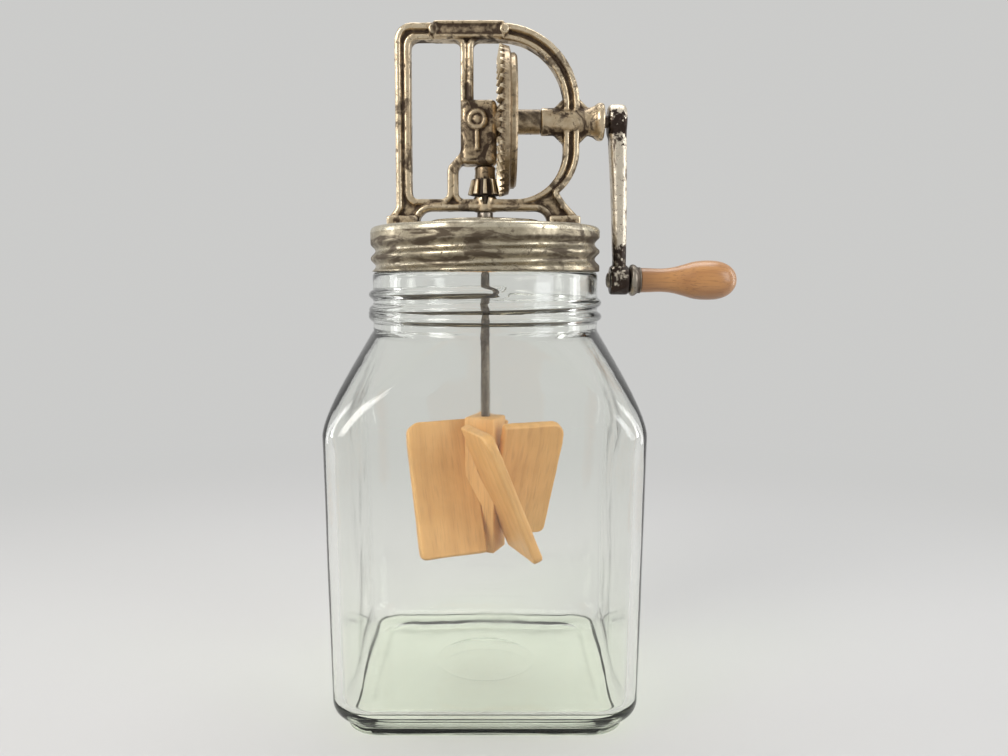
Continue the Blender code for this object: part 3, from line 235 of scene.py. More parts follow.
# %% Light and surroundings
world = bpy.data.worlds.new("studio")
bpy.context.scene.world = world
world.use_nodes = True
sky = world.node_tree
sky.nodes.clear()
seen = add_node(sky, "Background", Color=BACKDROP)
lit = add_node(sky, "Background", Color=(0.46, 0.47, 0.48))
choice = add_node(sky, "MixShader", shown_directly(sky), lit.outputs[0], seen.outputs[0])
add_node(sky, "OutputWorld", Surface=choice.outputs[0])

for lamp in [o for o in bpy.data.objects if o.type == "LIGHT"]:
    bpy.data.objects.remove(lamp, do_unlink=True)


def soft_lamp(name, place, aim_height, size, power, colour=(1, 1, 1)):
    """A rectangular lamp that faces the churn's axis at a height."""
    lamp = place_new(name, bpy.data.lights.new(name, "AREA"))
    lamp.data.shape = "RECTANGLE"
    lamp.data.size, lamp.data.size_y = size
    lamp.data.energy = power
    lamp.data.color = colour
    lamp.location = place
    way = Vector((0, 0, aim_height)) - Vector(place)
    lamp.rotation_euler = way.to_track_quat("-Z", "Y").to_euler()
    lamp.visible_camera = False


soft_lamp("key_softbox", (-0.85, -0.75, 0.85), 0.20, (0.55, 0.9), 8.5, (1, 0.97, 0.93))
soft_lamp("fill_softbox", (0.95, -0.55, 0.55), 0.18, (0.4, 0.9), 4, (0.95, 0.97, 1))
soft_lamp("top_softbox", (0.05, 0.35, 1.25), 0.15, (0.9, 0.6), 5)
for side in (-1, 1):
    soft_lamp(f"edge_strip_{side}", (side * 0.8, 0.15, 0.30), 0.2, (0.16, 0.9), 1.6)
bpy.context.scene.view_settings.view_transform = "Standard"

# %% [markdown]
# ## Shaping helpers
# Nearly every piece starts as a ring or a box that is extruded, scaled and bevelled in edit mode.
# The helpers below do the steps that repeat: they deselect everything first, because an operator
# acts on all that is selected, and they apply each modifier at once, so that what is seen is mesh.

# %% Shaping helpers
MM = 0.001
QUARTER = math.pi / 2
WELD = 1e-6


def only(piece):
    """Leaves just this piece selected and active."""
    bpy.ops.object.select_all(action="DESELECT")
    piece.select_set(True)
    bpy.context.view_layer.objects.active = piece


@contextmanager
def editing(piece, kind="VERT", test=None):
    """Edit mode with all of a piece selected, or only the faces or edges that pass a test."""
    only(piece)
    bpy.ops.object.mode_set(mode="EDIT")
    bpy.ops.mesh.select_mode(type=kind)
    bpy.ops.mesh.select_all(action="DESELECT" if test else "SELECT")
    if test:
        bpy.ops.object.mode_set(mode="OBJECT")
        for item in piece.data.polygons if kind == "FACE" else piece.data.edges:
            item.select = test(item)
        bpy.ops.object.mode_set(mode="EDIT")
    yield
    bpy.ops.object.mode_set(mode="OBJECT")


def put(piece, place=(0, 0, 0), turn=(0, 0, 0)):
    """Turns and moves a piece, in millimetres, then bakes that into its mesh."""
    piece.location = [v * MM for v in place]
    piece.rotation_euler = turn
    only(piece)
    bpy.ops.object.transform_apply()
    return piece


def modify(piece, kind, **settings):
    """Adds a modifier with these settings and applies it."""
    only(piece)
    modifier = piece.modifiers.new(kind.title(), kind)
    for name, value in settings.items():
        setattr(modifier, name, value)
    bpy.ops.object.modifier_apply(modifier=modifier.name)
    return piece


print("editing helpers ready")

# %% Turned and boxed pieces
def turned(name, stations, facets=64, hollow=False):
    """Extrudes a ring up through (radius, height) stations, in millimetres, round Z."""
    radius, height = stations[0]
    piece = primitive(name, "circle", vertices=facets, radius=radius * MM)
    with editing(piece):
        bpy.ops.transform.translate(value=(0, 0, height * MM))
        for next_radius, next_height in stations[1:] + (stations[:1] if hollow else []):
            step = (0, 0, (next_height - height) * MM)
            bpy.ops.mesh.extrude_region_move(TRANSFORM_OT_translate={"value": step})
            share, centre = next_radius / radius, (0, 0, next_height * MM)
            bpy.ops.transform.resize(value=(share, share, 1), center_override=centre)
            radius, height = next_radius, next_height
        bpy.ops.mesh.select_all(action="SELECT")
        bpy.ops.mesh.remove_doubles(threshold=WELD)
        if not hollow:
            bpy.ops.mesh.fill_holes(sides=0)
        bpy.ops.mesh.normals_make_consistent(inside=False)
    return piece


def boxed(name, low, high, edge=0.0, segments=3):
    """A box between two corners, in millimetres, with rounded edges."""
    piece = primitive(name, "cube", size=1)
    low, high = Vector(low) * MM, Vector(high) * MM
    piece.location, piece.scale = (low + high) / 2, high - low
    bpy.ops.object.transform_apply()
    if edge:
        modify(piece, "BEVEL", width=edge * MM, segments=segments, limit_method="NONE")
    return piece


def softened(node, edge):
    """A copy of a solid with its facets merged and its edges broken."""
    piece = place_new(node + "_look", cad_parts[node].data.copy())
    with editing(piece):
        bpy.ops.mesh.remove_doubles(threshold=WELD)
        bpy.ops.mesh.dissolve_limited(angle_limit=math.radians(1))
    return modify(piece, "BEVEL", width=edge * MM, segments=2, angle_limit=math.radians(34))


print("forms ready")

# %% Joining, cutting and finishing
def joined(name, pieces):
    """Makes one object of several."""
    only(pieces[0])
    for piece in pieces[1:]:
        piece.select_set(True)
    bpy.ops.object.join()
    pieces[0].name = name
    return pieces[0]


def cut(piece, cutter):
    """Takes the cutter's shape away from the piece."""
    modify(piece, "BOOLEAN", operation="DIFFERENCE", solver="MANIFOLD", object=cutter)
    bpy.data.objects.remove(cutter, do_unlink=True)


def melted(piece, voxel, smoothing=0):
    """One even skin with soft inner corners, as a casting has. voxel is its grain, in mm."""
    modify(piece, "REMESH", mode="VOXEL", voxel_size=voxel * MM, adaptivity=0)
    if smoothing:
        modify(piece, "SMOOTH", factor=0.5, iterations=smoothing)
    return piece


def settle(piece, body, finish, node, angle):
    """Gives a finished piece its material, its shading and its place in the frame."""
    only(piece)
    bpy.ops.object.shade_smooth_by_angle(angle=math.radians(angle))
    piece.data.materials.clear()
    piece.data.materials.append(finish)
    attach(piece, body)
    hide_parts(node)
    print(piece.name, "faces", len(piece.data.polygons))


print("finishing helpers ready")

# %% [markdown]
# ## Recesses and high spots
# Old plated metal is bright where hands and cloths rub it and dark where they don't reach. A
# renderer can guess that from corners, but a measured value is surer: each point is compared
# with the average of the points round it, and how far it lies above or below them is kept on
# the mesh, where every metal finish can read it.

# %% Recesses and high spots
def points_of(piece, field="co"):
    """One row for each point of the mesh: its place, or its normal."""
    rows = np.empty(len(piece.data.vertices) * 3)
    piece.data.vertices.foreach_get(field, rows)
    return rows.reshape(-1, 3)


def move_points(piece, points):
    piece.data.vertices.foreach_set("co", points.ravel())
    piece.data.update()


def keep(piece, name, values):
    """Stores one number, or one vector, for each point of the mesh."""
    kind, field = ("FLOAT", "value") if values.ndim == 1 else ("FLOAT_VECTOR", "vector")
    layer = piece.data.attributes.new(name, kind, "POINT")
    layer.data.foreach_set(field, values.astype(np.float32).ravel())


def mark_relief(piece, rounds, full, rule=None):
    """Keeps -1 in hollows to 1 on edges. full is the height of a full mark, in mm.

    A rule may change the marks by the points' places, in mm."""
    mesh, points = piece.data, points_of(piece)
    count = len(points)
    edges = np.empty(len(mesh.edges) * 2, np.int64)
    mesh.edges.foreach_get("vertices", edges)
    a, b = edges.reshape(-1, 2).T
    share = np.maximum(np.bincount(a, minlength=count) + np.bincount(b, minlength=count), 1)
    smooth = points.copy()
    for _ in range(rounds):
        total = np.zeros_like(smooth)
        for axis in range(3):
            total[:, axis] = np.bincount(a, smooth[b, axis], count)
            total[:, axis] += np.bincount(b, smooth[a, axis], count)
        smooth = (smooth + total / share[:, None]) / 2
    height = ((points - smooth) * points_of(piece, "normal")).sum(axis=1)
    relief = np.clip(height / (full * MM), -1, 1)
    keep(piece, "relief", rule(relief, points / MM) if rule else relief)


def roughen(piece, *layers, seed=0.0):
    """Moves each point along its normal. A layer is a scale and the height of its bumps, in mm."""
    points, normals = points_of(piece), points_of(piece, "normal")
    shift = Vector((seed, seed, 0))
    for scale, height in layers:
        bumps = np.array([noise.noise(Vector(p) * scale + shift) for p in points])
        points = points + normals * bumps[:, None] * height * MM
    move_points(piece, points)


print("relief marker ready")

# %% [markdown]
# ## Shared effects
# The same few effects come back in every finish: rubbed edges and dirty corners, patches of
# stain, and wood grain. Each one is a node group that is built once. A group hands out masks and
# heights only, and each material decides what colours and roughness they stand for.

# %% Node groups
def add_socket(group, name, way):
    return group.interface.new_socket(name, in_out=way, socket_type="NodeSocketFloat")


def start_group(name, **inputs):
    """An empty node group and what comes out of its Group Input, for named number sockets."""
    group = bpy.data.node_groups.new(name, "ShaderNodeTree")
    for socket, value in inputs.items():
        add_socket(group, socket.replace("_", " "), "INPUT").default_value = value
    return group, group.nodes.new("NodeGroupInput").outputs


def end_group(group, **results):
    """Gives a group its outputs."""
    for name in results:
        add_socket(group, name, "OUTPUT")
    fill(group.nodes.new("NodeGroupOutput"), **results)
    print(group.name, "group ready")
    return group


def use_group(tree, group, **values):
    return add_node(tree, "Group", node_tree=group, **values).outputs


# %% Rubbed edges and dirty corners
tree, given = start_group("rubbed edges", Rub=1.0, Grime=1.0)
relief = add_node(tree, "Attribute", attribute_name="relief").outputs["Fac"]
loose = plus(relief, swing(clouds(tree, 260.0, 6.0, 0.65), 1.6))
# The dark output is grime in hollows, and on the lid also painted shade on downward flanks.
wear_group = end_group(
    tree,
    Rubbed=times(loose, given["Rub"], clamp=True),
    Grimy=times(times(loose, -1.0), given["Grime"], clamp=True),
)

# %% Stain patches
tree, given = start_group(
    "stain patches", Scale=40.0, Upright_Stretch=1.0, Amount=0.5, Softness=0.1
)
stretch = add_node(tree, "CombineXYZ", 1.0, 1.0, given["Upright Stretch"]).outputs[0]
laid = add_node(tree, "VectorMath", object_place(tree), stretch, operation="MULTIPLY").outputs[0]
cloud = clouds(tree, given["Scale"], 8.0, 0.62, 0.6, at=laid)
edge = minus(1.0, given["Amount"])
low, high = minus(edge, given["Softness"]), plus(edge, given["Softness"])
stain_group = end_group(
    tree, Stain=spread(cloud, low, high, curve="SMOOTHSTEP"), Fine=clouds(tree, 1500.0, 4.0)
)

# %% Wood grain
ALONG_GRAIN = 0.055
tree, given = start_group("wood grain", Ring_Scale=90.0)
lay = add_node(tree, "Attribute", attribute_name="lay").outputs["Vector"]
long_way = add_node(tree, "VectorMath", lay, (1, 1, ALONG_GRAIN), operation="MULTIPLY").outputs[0]
x, y, _ = add_node(tree, "SeparateXYZ", long_way).outputs
sway = clouds(tree, 28.0, 3.0, distortion=0.3, at=long_way)
across = plus(plus(x, times(sway, 0.035)), times(y, 0.45))
waves = reckon("SINE", times(times(across, given["Ring Scale"]), 2 * math.pi))
grain_group = end_group(
    tree,
    Rings=reckon("MULTIPLY_ADD", waves, 0.5, 0.5),
    Pores=clouds(tree, 1400.0, 2.0, at=long_way),
    Mottle=clouds(tree, 45.0, 5.0, at=lay),
)

# %% [markdown]
# ## Metal finishes
# There are five metals here: a plated casting that has gone brown in its corners, bare gear
# metal, a dull tinned sheet, dark steel, and the crank, whose plating is worn down to black at
# both ends. They share one recipe: a body colour, a grime colour for hollows and stains, and a
# bright one where the surface is rubbed. On the tin the grime colour also lays painted shade on the
# lower flank of each swell of its thread. Grime is rougher and less metallic than what it covers.

# %% Metal finishes
def aged_metal(name, body, grime_and_shade, bright, stain, rub, dirt, rough, pits):
    """A worn metal. stain is (scale, upright stretch, amount, softness)."""
    material, tree, shader = new_material(name)
    wear = use_group(tree, wear_group, Rub=rub, Grime=dirt)
    patches = add_node(tree, "Group", *stain, node_tree=stain_group).outputs
    specks = use_group(tree, stain_group, Scale=stain[0] * 5, Amount=0.40, Softness=0.03)
    tint = blend(patches["Fine"], tuple(c * 0.82 for c in body), body)
    tint = blend(wear["Rubbed"], tint, bright)
    # This mask is grime and stains; on the tin it also holds painted shade from the lid's relief.
    dirt_and_shade = larger(wear["Grimy"], patches["Stain"])
    dirt_and_shade = larger(dirt_and_shade, times(specks["Stain"], 0.8))
    dirt_and_shade = minus(dirt_and_shade, times(wear["Rubbed"], 0.8), clamp=True)
    height = minus(times(patches["Fine"], 0.4), times(dirt_and_shade, 0.6))
    fill(
        shader,
        Base_Color=blend(dirt_and_shade, tint, grime_and_shade),
        Roughness=ramp(dirt_and_shade, (0, rough[0]), (1, rough[1])),
        Metallic=ramp(dirt_and_shade, (0, 1.0), (1, 0.45)),
        Normal=bumped(height, pits, 0.0004),
    )
    return material


casting = aged_metal(
    "worn plated casting", (0.58, 0.45, 0.29), (0.050, 0.028, 0.014), (0.86, 0.75, 0.56),
    (85.0, 1.0, 0.46, 0.05), rub=0.7, dirt=1.7, rough=(0.30, 0.62), pits=0.45,
)
gear_metal = aged_metal(
    "brown gear metal", (0.36, 0.27, 0.17), (0.035, 0.021, 0.012), (0.74, 0.62, 0.44),
    (60.0, 1.0, 0.40, 0.12), rub=1.0, dirt=1.4, rough=(0.33, 0.62), pits=0.3,
)
# The tin's grime colour also paints shade on the lower flanks of its thread.
tin = aged_metal(
    "dull tinned sheet", (0.54, 0.47, 0.34), (0.09, 0.065, 0.040), (0.80, 0.74, 0.59),
    (42.0, 3.4, 0.47, 0.07), rub=0.7, dirt=1.2, rough=(0.27, 0.55), pits=0.15,
)
steel = aged_metal(
    "dark steel", (0.20, 0.165, 0.13), (0.050, 0.030, 0.018), (0.50, 0.45, 0.38),
    (90.0, 0.5, 0.50, 0.10), rub=0.6, dirt=0.9, rough=(0.34, 0.62), pits=0.2,
)
print("metals", casting.name, gear_metal.name, tin.name, steel.name)

# %% [markdown]
# The crank's finish changes along its length: black at the head and at the lug, and bright plating
# in between. Height in the object's own coordinates tells the places apart, and fine noise breaks
# each black end up into specks, which a smooth fade couldn't do.

# %% Crank finish
BLACK, BARE = 1.0, 0.0


def lay_over(tree, mask, colour):
    """Puts one more colour over a finished material where the mask is 1."""
    target = tree.nodes["Principled BSDF"].inputs["Base Color"]
    feed(target, blend(mask, target.links[0].from_socket, colour))


crank_plate = aged_metal(
    "worn crank plating", (0.75, 0.67, 0.54), (0.085, 0.050, 0.030), (0.90, 0.84, 0.72),
    (150.0, 0.35, 0.43, 0.04), rub=0.5, dirt=0.9, rough=(0.34, 0.55), pits=0.5,
)
tree = crank_plate.node_tree
height = add_node(tree, "SeparateXYZ", object_place(tree)).outputs["Z"]
level = plus(height, swing(clouds(tree, 170.0, 7.0, 0.7), 0.034))
ends = ramp(
    spread(level, 0.208, 0.318),
    (0.0, BLACK), (0.10, 0.85), (0.15, 0.55), (0.25, 0.66), (0.36, BARE),
    (0.77, BARE), (0.82, 0.9), (0.89, BLACK), (0.93, BARE),
)
chance = plus(ends, swing(clouds(tree, 420.0, 5.0, 0.6), 1.5))
specks = reckon("MULTIPLY_ADD", chance, 5.0, -2.0, clamp=True)
lay_over(tree, specks, (0.045, 0.032, 0.026))
print(crank_plate.name, "ready")

# %% [markdown]
# ## Wood finishes
# The grip is orange-brown beneath its varnish and darker near the ferrule, and its underside is
# darkened with painted shade. The dasher is lighter and bare. Both read the grain group, which
# follows a vector kept on each piece, so that the grain runs along the piece however it is turned.

# %% Wood finishes
def timber(name, pale, dark, deep, rings, contrast, coat=0.0, rough=(0.42, 0.6)):
    """A wood in three browns. coat is its varnish."""
    material, tree, shader = new_material(name, Coat_Weight=coat, Coat_Roughness=0.22)
    grain = use_group(tree, grain_group, Ring_Scale=rings)
    share = ramp(grain["Rings"], (0, 0.0), (0.75, contrast * 0.5), (1, contrast))
    tint = blend(share, pale, dark)
    spots = ramp(grain["Pores"], (0.34, contrast * 0.9), (0.47, 0.0))
    tint = blend(spots, tint, deep)
    cloud = ramp(grain["Mottle"], (0.35, 0.0), (0.75, 0.55))
    fill(
        shader,
        Base_Color=blend(cloud, tint, dark),
        Roughness=ramp(grain["Mottle"], (0.3, rough[0]), (0.7, rough[1])),
        Normal=bumped(grain["Pores"], 0.35, 0.0002),
    )
    return material


dasher_wood = timber(
    "bare honey wood", (0.74, 0.41, 0.15), (0.56, 0.275, 0.08), (0.34, 0.155, 0.048), 110.0, 0.34
)
grip_wood = timber(
    "varnished grip wood", (0.57, 0.275, 0.09), (0.38, 0.16, 0.048), (0.16, 0.065, 0.022),
    210.0, 0.5, coat=0.55, rough=(0.30, 0.45),
)
tree = grip_wood.node_tree
x, _, z = add_node(tree, "SeparateXYZ", object_place(tree)).outputs
near_ferrule = spread(x, 0.083, 0.100, 0.6, 0.0)
# Painted shade: the grip is darkened below the spindle's height, where less light falls.
painted_shade_below = spread(z, 0.220, 0.212, 0.0, 0.65)
lay_over(tree, larger(near_ferrule, painted_shade_below), (0.20, 0.085, 0.03))
print("woods", dasher_wood.name, grip_wood.name)

# %% [markdown]
# ## Glass
# Pressed jar glass is thick, faintly green and never quite flat. The colour comes mostly from the
# depth of glass that the light crosses, so the edges and the heel look greener than the flats.
# Absorption inside the glass gives that by itself. A weak bump gives the ripple of a mould. Light
# from the lamps would stop at the wall, so shadow rays meet a Transparent shader instead.

# %% Glass
jar_glass, tree, shader = new_material(
    "thick pressed glass", Base_Color=(0.985, 0.992, 0.975), IOR=1.50, Transmission_Weight=1.0
)
fill(
    shader,
    Roughness=ramp(clouds(tree, 26.0, 6.0, 0.6), (0.45, 0.012), (0.72, 0.10)),
    Normal=bumped(clouds(tree, 42.0, 2.0), 0.10, 0.0012),
)
in_shadow = add_node(tree, "LightPath").outputs["Is Shadow Ray"]
clear = add_node(tree, "BsdfTransparent", Color=(0.93, 0.96, 0.92))
through = add_node(tree, "MixShader", in_shadow, shader.outputs[0], clear.outputs[0])
depth = add_node(tree, "VolumeAbsorption", Color=(0.75, 0.84, 0.59), Density=5.0)
fill(tree.nodes["Material Output"], Surface=through.outputs[0], Volume=depth.outputs[0])
print(jar_glass.name, "ready")

# %% [markdown]
# ## Jar
# The jar is square with rounded corners below and round at the neck. It could be a box with
# bevels, but the change from square to round has to stay smooth, so it is a ring of points that
# is extruded from the foot up the outside, over the rim and down the inside. Each ring is then
# drawn out to its own rounded square. More points lie near the corners than on the flats.

# %% Jar sections
JAR_COLUMNS = 192
FOOT, HEEL, SHOULDER, NECK, BORE = 68.8, 75.4, 77.4, 60.2, 56.0
CORNER, WALL, FLOOR = 16.0, 4.5, 10.0
SHOULDER_Z, NECK_Z, RIM_Z = 148.0, 195.6, 226.2
HEEL_START = math.radians(35)


def column_angles(count):
    """Angles round the jar, closer together near the corners."""
    quarter, step = np.divmod(np.arange(count), count // 4)
    share = step / (count // 4)
    return (quarter + share + 0.10 * np.sin(2 * math.pi * share)) * math.pi / 2


def square_reach(angles, half, corner):
    """How far a rounded square reaches at each angle."""
    folded = np.abs((angles + math.pi / 4) % (math.pi / 2) - math.pi / 4)
    straight = half - corner
    flat = half / np.cos(folded)
    lateral = straight * (np.cos(folded) - np.sin(folded))
    root = np.sqrt(np.maximum(corner**2 - lateral**2, 0))
    bend = straight * (np.cos(folded) + np.sin(folded)) + root
    return np.where(half * np.tan(folded) <= straight, flat, bend)


def shoulder_at(share):
    """On the curve from the flats to the neck: half width, gain in corner radius, and height."""
    rise = NECK_Z - SHOULDER_Z
    guides = ((SHOULDER, 0), (SHOULDER, 0.20 * rise), (68.8, 0.60 * rise), (NECK, rise))
    guides = [Vector(g) for g in guides]
    while len(guides) > 1:
        guides = [a.lerp(b, share) for a, b in zip(guides, guides[1:])]
    half, climb = guides[0]
    gain = (SHOULDER - half) / (SHOULDER - NECK) * (NECK - CORNER)
    return half, gain, SHOULDER_Z + climb


def arc(low, high, count):
    """(cosine, sine) at even steps of a turn."""
    return [(math.cos(turn), math.sin(turn)) for turn in np.linspace(low, high, count)]


def jar_outside():
    """(half width, corner radius, height) from the underside to the rim, in millimetres."""
    rings = [(20, 14, 0.6), (55, 15, 0.6), (58, CORNER, 0.25), (60, CORNER, 0)]
    rings += [(66.6 + 2.2 * s, CORNER, 2.2 - 2.2 * c) for c, s in arc(0, QUARTER, 6)]
    rings += [(FOOT, CORNER, 3.9), (FOOT + 0.1, CORNER, 4.9)]
    for c, s in arc(HEEL_START, QUARTER, 9):
        rings.append((HEEL - 14 * (1 - s), CORNER, 5.2 + 14 * (math.cos(HEEL_START) - c)))
    for share in np.linspace(0.06, 0.97, 14):
        height = 16.7 + share * (SHOULDER_Z - 16.7)
        rings.append((HEEL + share * (SHOULDER - HEEL), CORNER, height))
    rings += [(h, CORNER + gain, z) for h, gain, z in map(shoulder_at, np.linspace(0, 1, 26))]
    return rings + [(NECK, NECK, z) for z in np.arange(NECK_Z + 0.6, RIM_Z - 1.8, 0.5)]


def jar_inside():
    """The same from the rim down to the middle of the floor."""
    middle, half_wall, bore = (NECK + BORE) / 2, (NECK - BORE) / 2, BORE - 0.2
    rings = [(middle + half_wall * c, RIM_Z - 1.8 + 1.8 * s) for c, s in arc(0, math.pi, 9)]
    rings += [(bore, height) for height in np.linspace(RIM_Z - 5, NECK_Z + 2, 8)]
    rings = [(reach, reach, height) for reach, height in rings]
    for half, gain, height in map(shoulder_at, np.linspace(1, 0, 22)):
        rings.append((half - WALL, min(CORNER - WALL + gain, half - WALL), height))
    inner = CORNER - WALL + 2
    for share in np.linspace(0.95, 0.02, 12):
        half = HEEL + share * (SHOULDER - HEEL) - WALL
        rings.append((half, inner, 18.5 + share * (SHOULDER_Z - 18.5)))
    for c, s in arc(0.1, QUARTER, 8):
        rings.append((HEEL - WALL - 8 * (1 - c), inner, FLOOR + 8 - 8 * s))
    rings += [(50, 15, FLOOR - 0.1), (38, 24, FLOOR - 0.2)]
    round_mark = ((28.5, 0.2), (27.6, 0.08), (26.8, 0.02), (26.0, 0.08), (25.0, 0.2), (12, 0.2))
    return rings + [(reach, reach, FLOOR - drop) for reach, drop in round_mark]


print("rings", len(jar_outside()) + len(jar_inside()))

# %% [markdown]
# The screw thread and the bead below it are part of the same mould. They are raised out of the
# neck's rings by a smooth bump that climbs round it, so their feet blend into the glass. The
# thread starts at the front and runs down clockwise, seen from above, and fades at both ends.

# %% Jar
THREAD_PITCH, THREAD_FIRST, THREAD_TOP = 8.0, math.radians(-82), RIM_Z - 9.7
BEAD_Z = 202.8
RIPPLE_LENGTH, RIPPLE_DEPTH = 34, 0.0022


def coil_height(angles, height, start, turns, width, first, fade_over, roundness):
    """0 to 1 across a coil that starts at an angle and a height and winds down."""
    share = ((first - angles) / (2 * math.pi)) % 1
    best = np.zeros_like(angles)
    for turn in range(math.ceil(turns) + 1):
        travel = share + turn
        fade = np.clip(np.minimum(travel, turns - travel) / fade_over, 0, 1)
        away = np.abs(height - (start - travel * THREAD_PITCH)) / width
        best = np.maximum(best, fade * np.cos(np.clip(away, 0, 1) * math.pi / 2) ** roundness)
    return best


def round_z(angles, reach, height):
    """Rows of x, y and z from angles and distances round Z."""
    return np.stack([reach * np.cos(angles), reach * np.sin(angles), height + 0 * angles], 1)


def build_jar():
    outside, inside = jar_outside(), jar_inside()
    angles, rows = column_angles(JAR_COLUMNS), []
    for i, (half, corner, height) in enumerate(outside + inside):
        reach = square_reach(angles, half, min(corner, half))
        outer = i < len(outside)
        if outer and height > NECK_Z:
            thread = coil_height(angles, height, THREAD_TOP, 1.4, 2.6, THREAD_FIRST, 0.025, 0.8)
            bead = math.cos(min(1, abs(height - BEAD_Z) / 2.7) * math.pi / 2) ** 0.8
            reach = reach + 2.2 * thread + 2.4 * bead
        spots = round_z(angles, reach, height)
        if 20 < height < NECK_Z:
            seed = Vector((0 if outer else 300, 0, 0))
            for spot in spots:
                spot[:2] *= 1 + RIPPLE_DEPTH * noise.noise(Vector(spot) / RIPPLE_LENGTH + seed)
        rows.append(spots * MM)
    stations = [(1 + i * 0.01, row[0, 2] / MM) for i, row in enumerate(rows)]
    jar = turned("jar_glass_wall", stations, JAR_COLUMNS)
    move_points(jar, np.concatenate(rows))
    return jar


jar = build_jar()
with editing(jar):
    bpy.ops.mesh.normals_make_consistent(inside=False)
settle(jar, "jar", jar_glass, "glass_jar", angle=60)

# %% [markdown]
# ## Lid
# The lid is one sheet, spun and rolled: a skirt with a rolled thread, a round edge, a flat ring
# and a raised middle. It is drawn as a single skin and given its thickness afterwards. The
# thread is pressed in as a groove, so the skirt bulges between its turns. Its wear follows the
# same form, so it is worked out from each point's place and written over the measured relief,
# with painted shade added on the downward-facing flank of each swell.

# %% Lid
LID_COLUMNS = 240
LID_R, HEM_Z, RING_Z = 61.1, 226.5, 250.0
EDGE_R, PLATEAU_RISE = 2.8, 3.5
SHEET = 0.9


def eased(values, low, high):
    """0 to 1 between two values, with a smooth start and end."""
    share = np.clip((values - low) / (high - low), 0, 1)
    return share * share * (3 - 2 * share)


def lid_rings():
    """(radius, height) of the outer skin from the hem to the hole."""
    rings = [(LID_R - 0.9, HEM_Z), (LID_R - 0.2, HEM_Z + 0.15), (LID_R + 0.1, HEM_Z + 0.6)]
    rings += [(LID_R, HEM_Z + h) for h in np.arange(1.0, 20.5, 0.45)]
    for c, s in arc(0, QUARTER, 9):
        rings.append((LID_R - EDGE_R * (1 - c), RING_Z - EDGE_R + EDGE_R * s))
    for radius in np.linspace(56, 34, 14):
        rings.append((radius, RING_Z - 0.25 * math.sin((57 - radius) / 24 * math.pi)))
    for share in np.linspace(0, 1, 10):
        rings.append((32.2 - 3.7 * share, RING_Z + PLATEAU_RISE * eased(share, 0, 1)))
    return rings + [(r, RING_Z + PLATEAU_RISE) for r in np.linspace(26.5, 4.7, 12)]


lid = turned("tinned_lid", lid_rings(), LID_COLUMNS)
with editing(lid, "FACE", lambda face: len(face.vertices) > 4):
    bpy.ops.mesh.delete(type="FACE")
print("lid rings", len(lid_rings()))

# %% Lid thread, dents and wear
points = points_of(lid)
angles, heights = np.arctan2(points[:, 1], points[:, 0]), points[:, 2] / MM
radii = np.hypot(points[:, 0], points[:, 1]) / MM
groove = np.zeros(len(points))
for level in np.unique(np.round(heights, 4)):
    row = np.abs(heights - level) < 1e-3
    groove[row] = coil_height(angles[row], level, RING_Z - 6.8, 2.0, 3.6, QUARTER, 0.12, 1.6)
dents = np.array([noise.noise(Vector(p) * 38) + 0.5 * noise.noise(Vector(p) * 110) for p in points])
skirt = heights < RING_Z - 3
radii = np.where(skirt, radii - 2.5 * groove + 0.16 * dents, radii)
heights = np.where(skirt, heights, heights + 0.10 * dents)
move_points(lid, round_z(angles, radii, heights) * MM)
modify(lid, "SOLIDIFY", thickness=SHEET * MM, offset=-1)


def lid_wear_and_shade(relief, points):
    """Tin lasts in the grooves. Painted shade darkens each swell's downward flank. Brown grime
    stays round the top band.
    """
    # Painted shade: downward-facing flanks of the swells are darkened, as if in shadow.
    painted_shade_under = np.clip(-1.6 * points_of(lid, "normal")[:, 2], 0, 1)
    skirt = points[:, 2] < RING_Z - 3.5
    relief = np.where(skirt, 0.16 - 0.12 * relief - 0.55 * painted_shade_under, relief)
    return relief - 0.26 * np.clip((points[:, 2] - 240) / 3, 0, 1)


mark_relief(lid, 24, 0.22, lid_wear_and_shade)
settle(lid, "lid", tin, "lid_cap", angle=60)

# %% [markdown]
# ## Gear frame
# The frame is one iron casting: two feet, a D of channelled bars, a bearing block in the middle
# and a long bearing for the shaft on the right. In sand casting, every inner corner is round. The
# flat part is drawn as an outline with windows and made a plate, channels are sunk into it, and
# then all the lumps are melted into one skin, which rounds the corners where they meet.

# %% Frame outline
SHAFT_Z = 305.2


def filleted(corners):
    """Points of a closed outline from (x, z, corner radius) corners."""
    points = []
    for i, (x, z, radius) in enumerate(corners):
        here = Vector((x, z))
        if not radius:
            points.append(here)
            continue
        before = (here - Vector(corners[i - 1][:2])).normalized()
        after = (Vector(corners[(i + 1) % len(corners)][:2]) - here).normalized()
        turn = before.angle_signed(after)
        start = here - radius * math.tan(abs(turn) / 2) * before
        side = 1 if turn < 0 else -1
        centre = start + side * radius * Vector((-before.y, before.x))
        steps = max(3, math.ceil(abs(turn) * radius / 0.9))
        for step in range(steps + 1):
            swung = Matrix.Rotation(side * abs(turn) * step / steps, 2)
            points.append(centre + swung @ (start - centre))
    return points


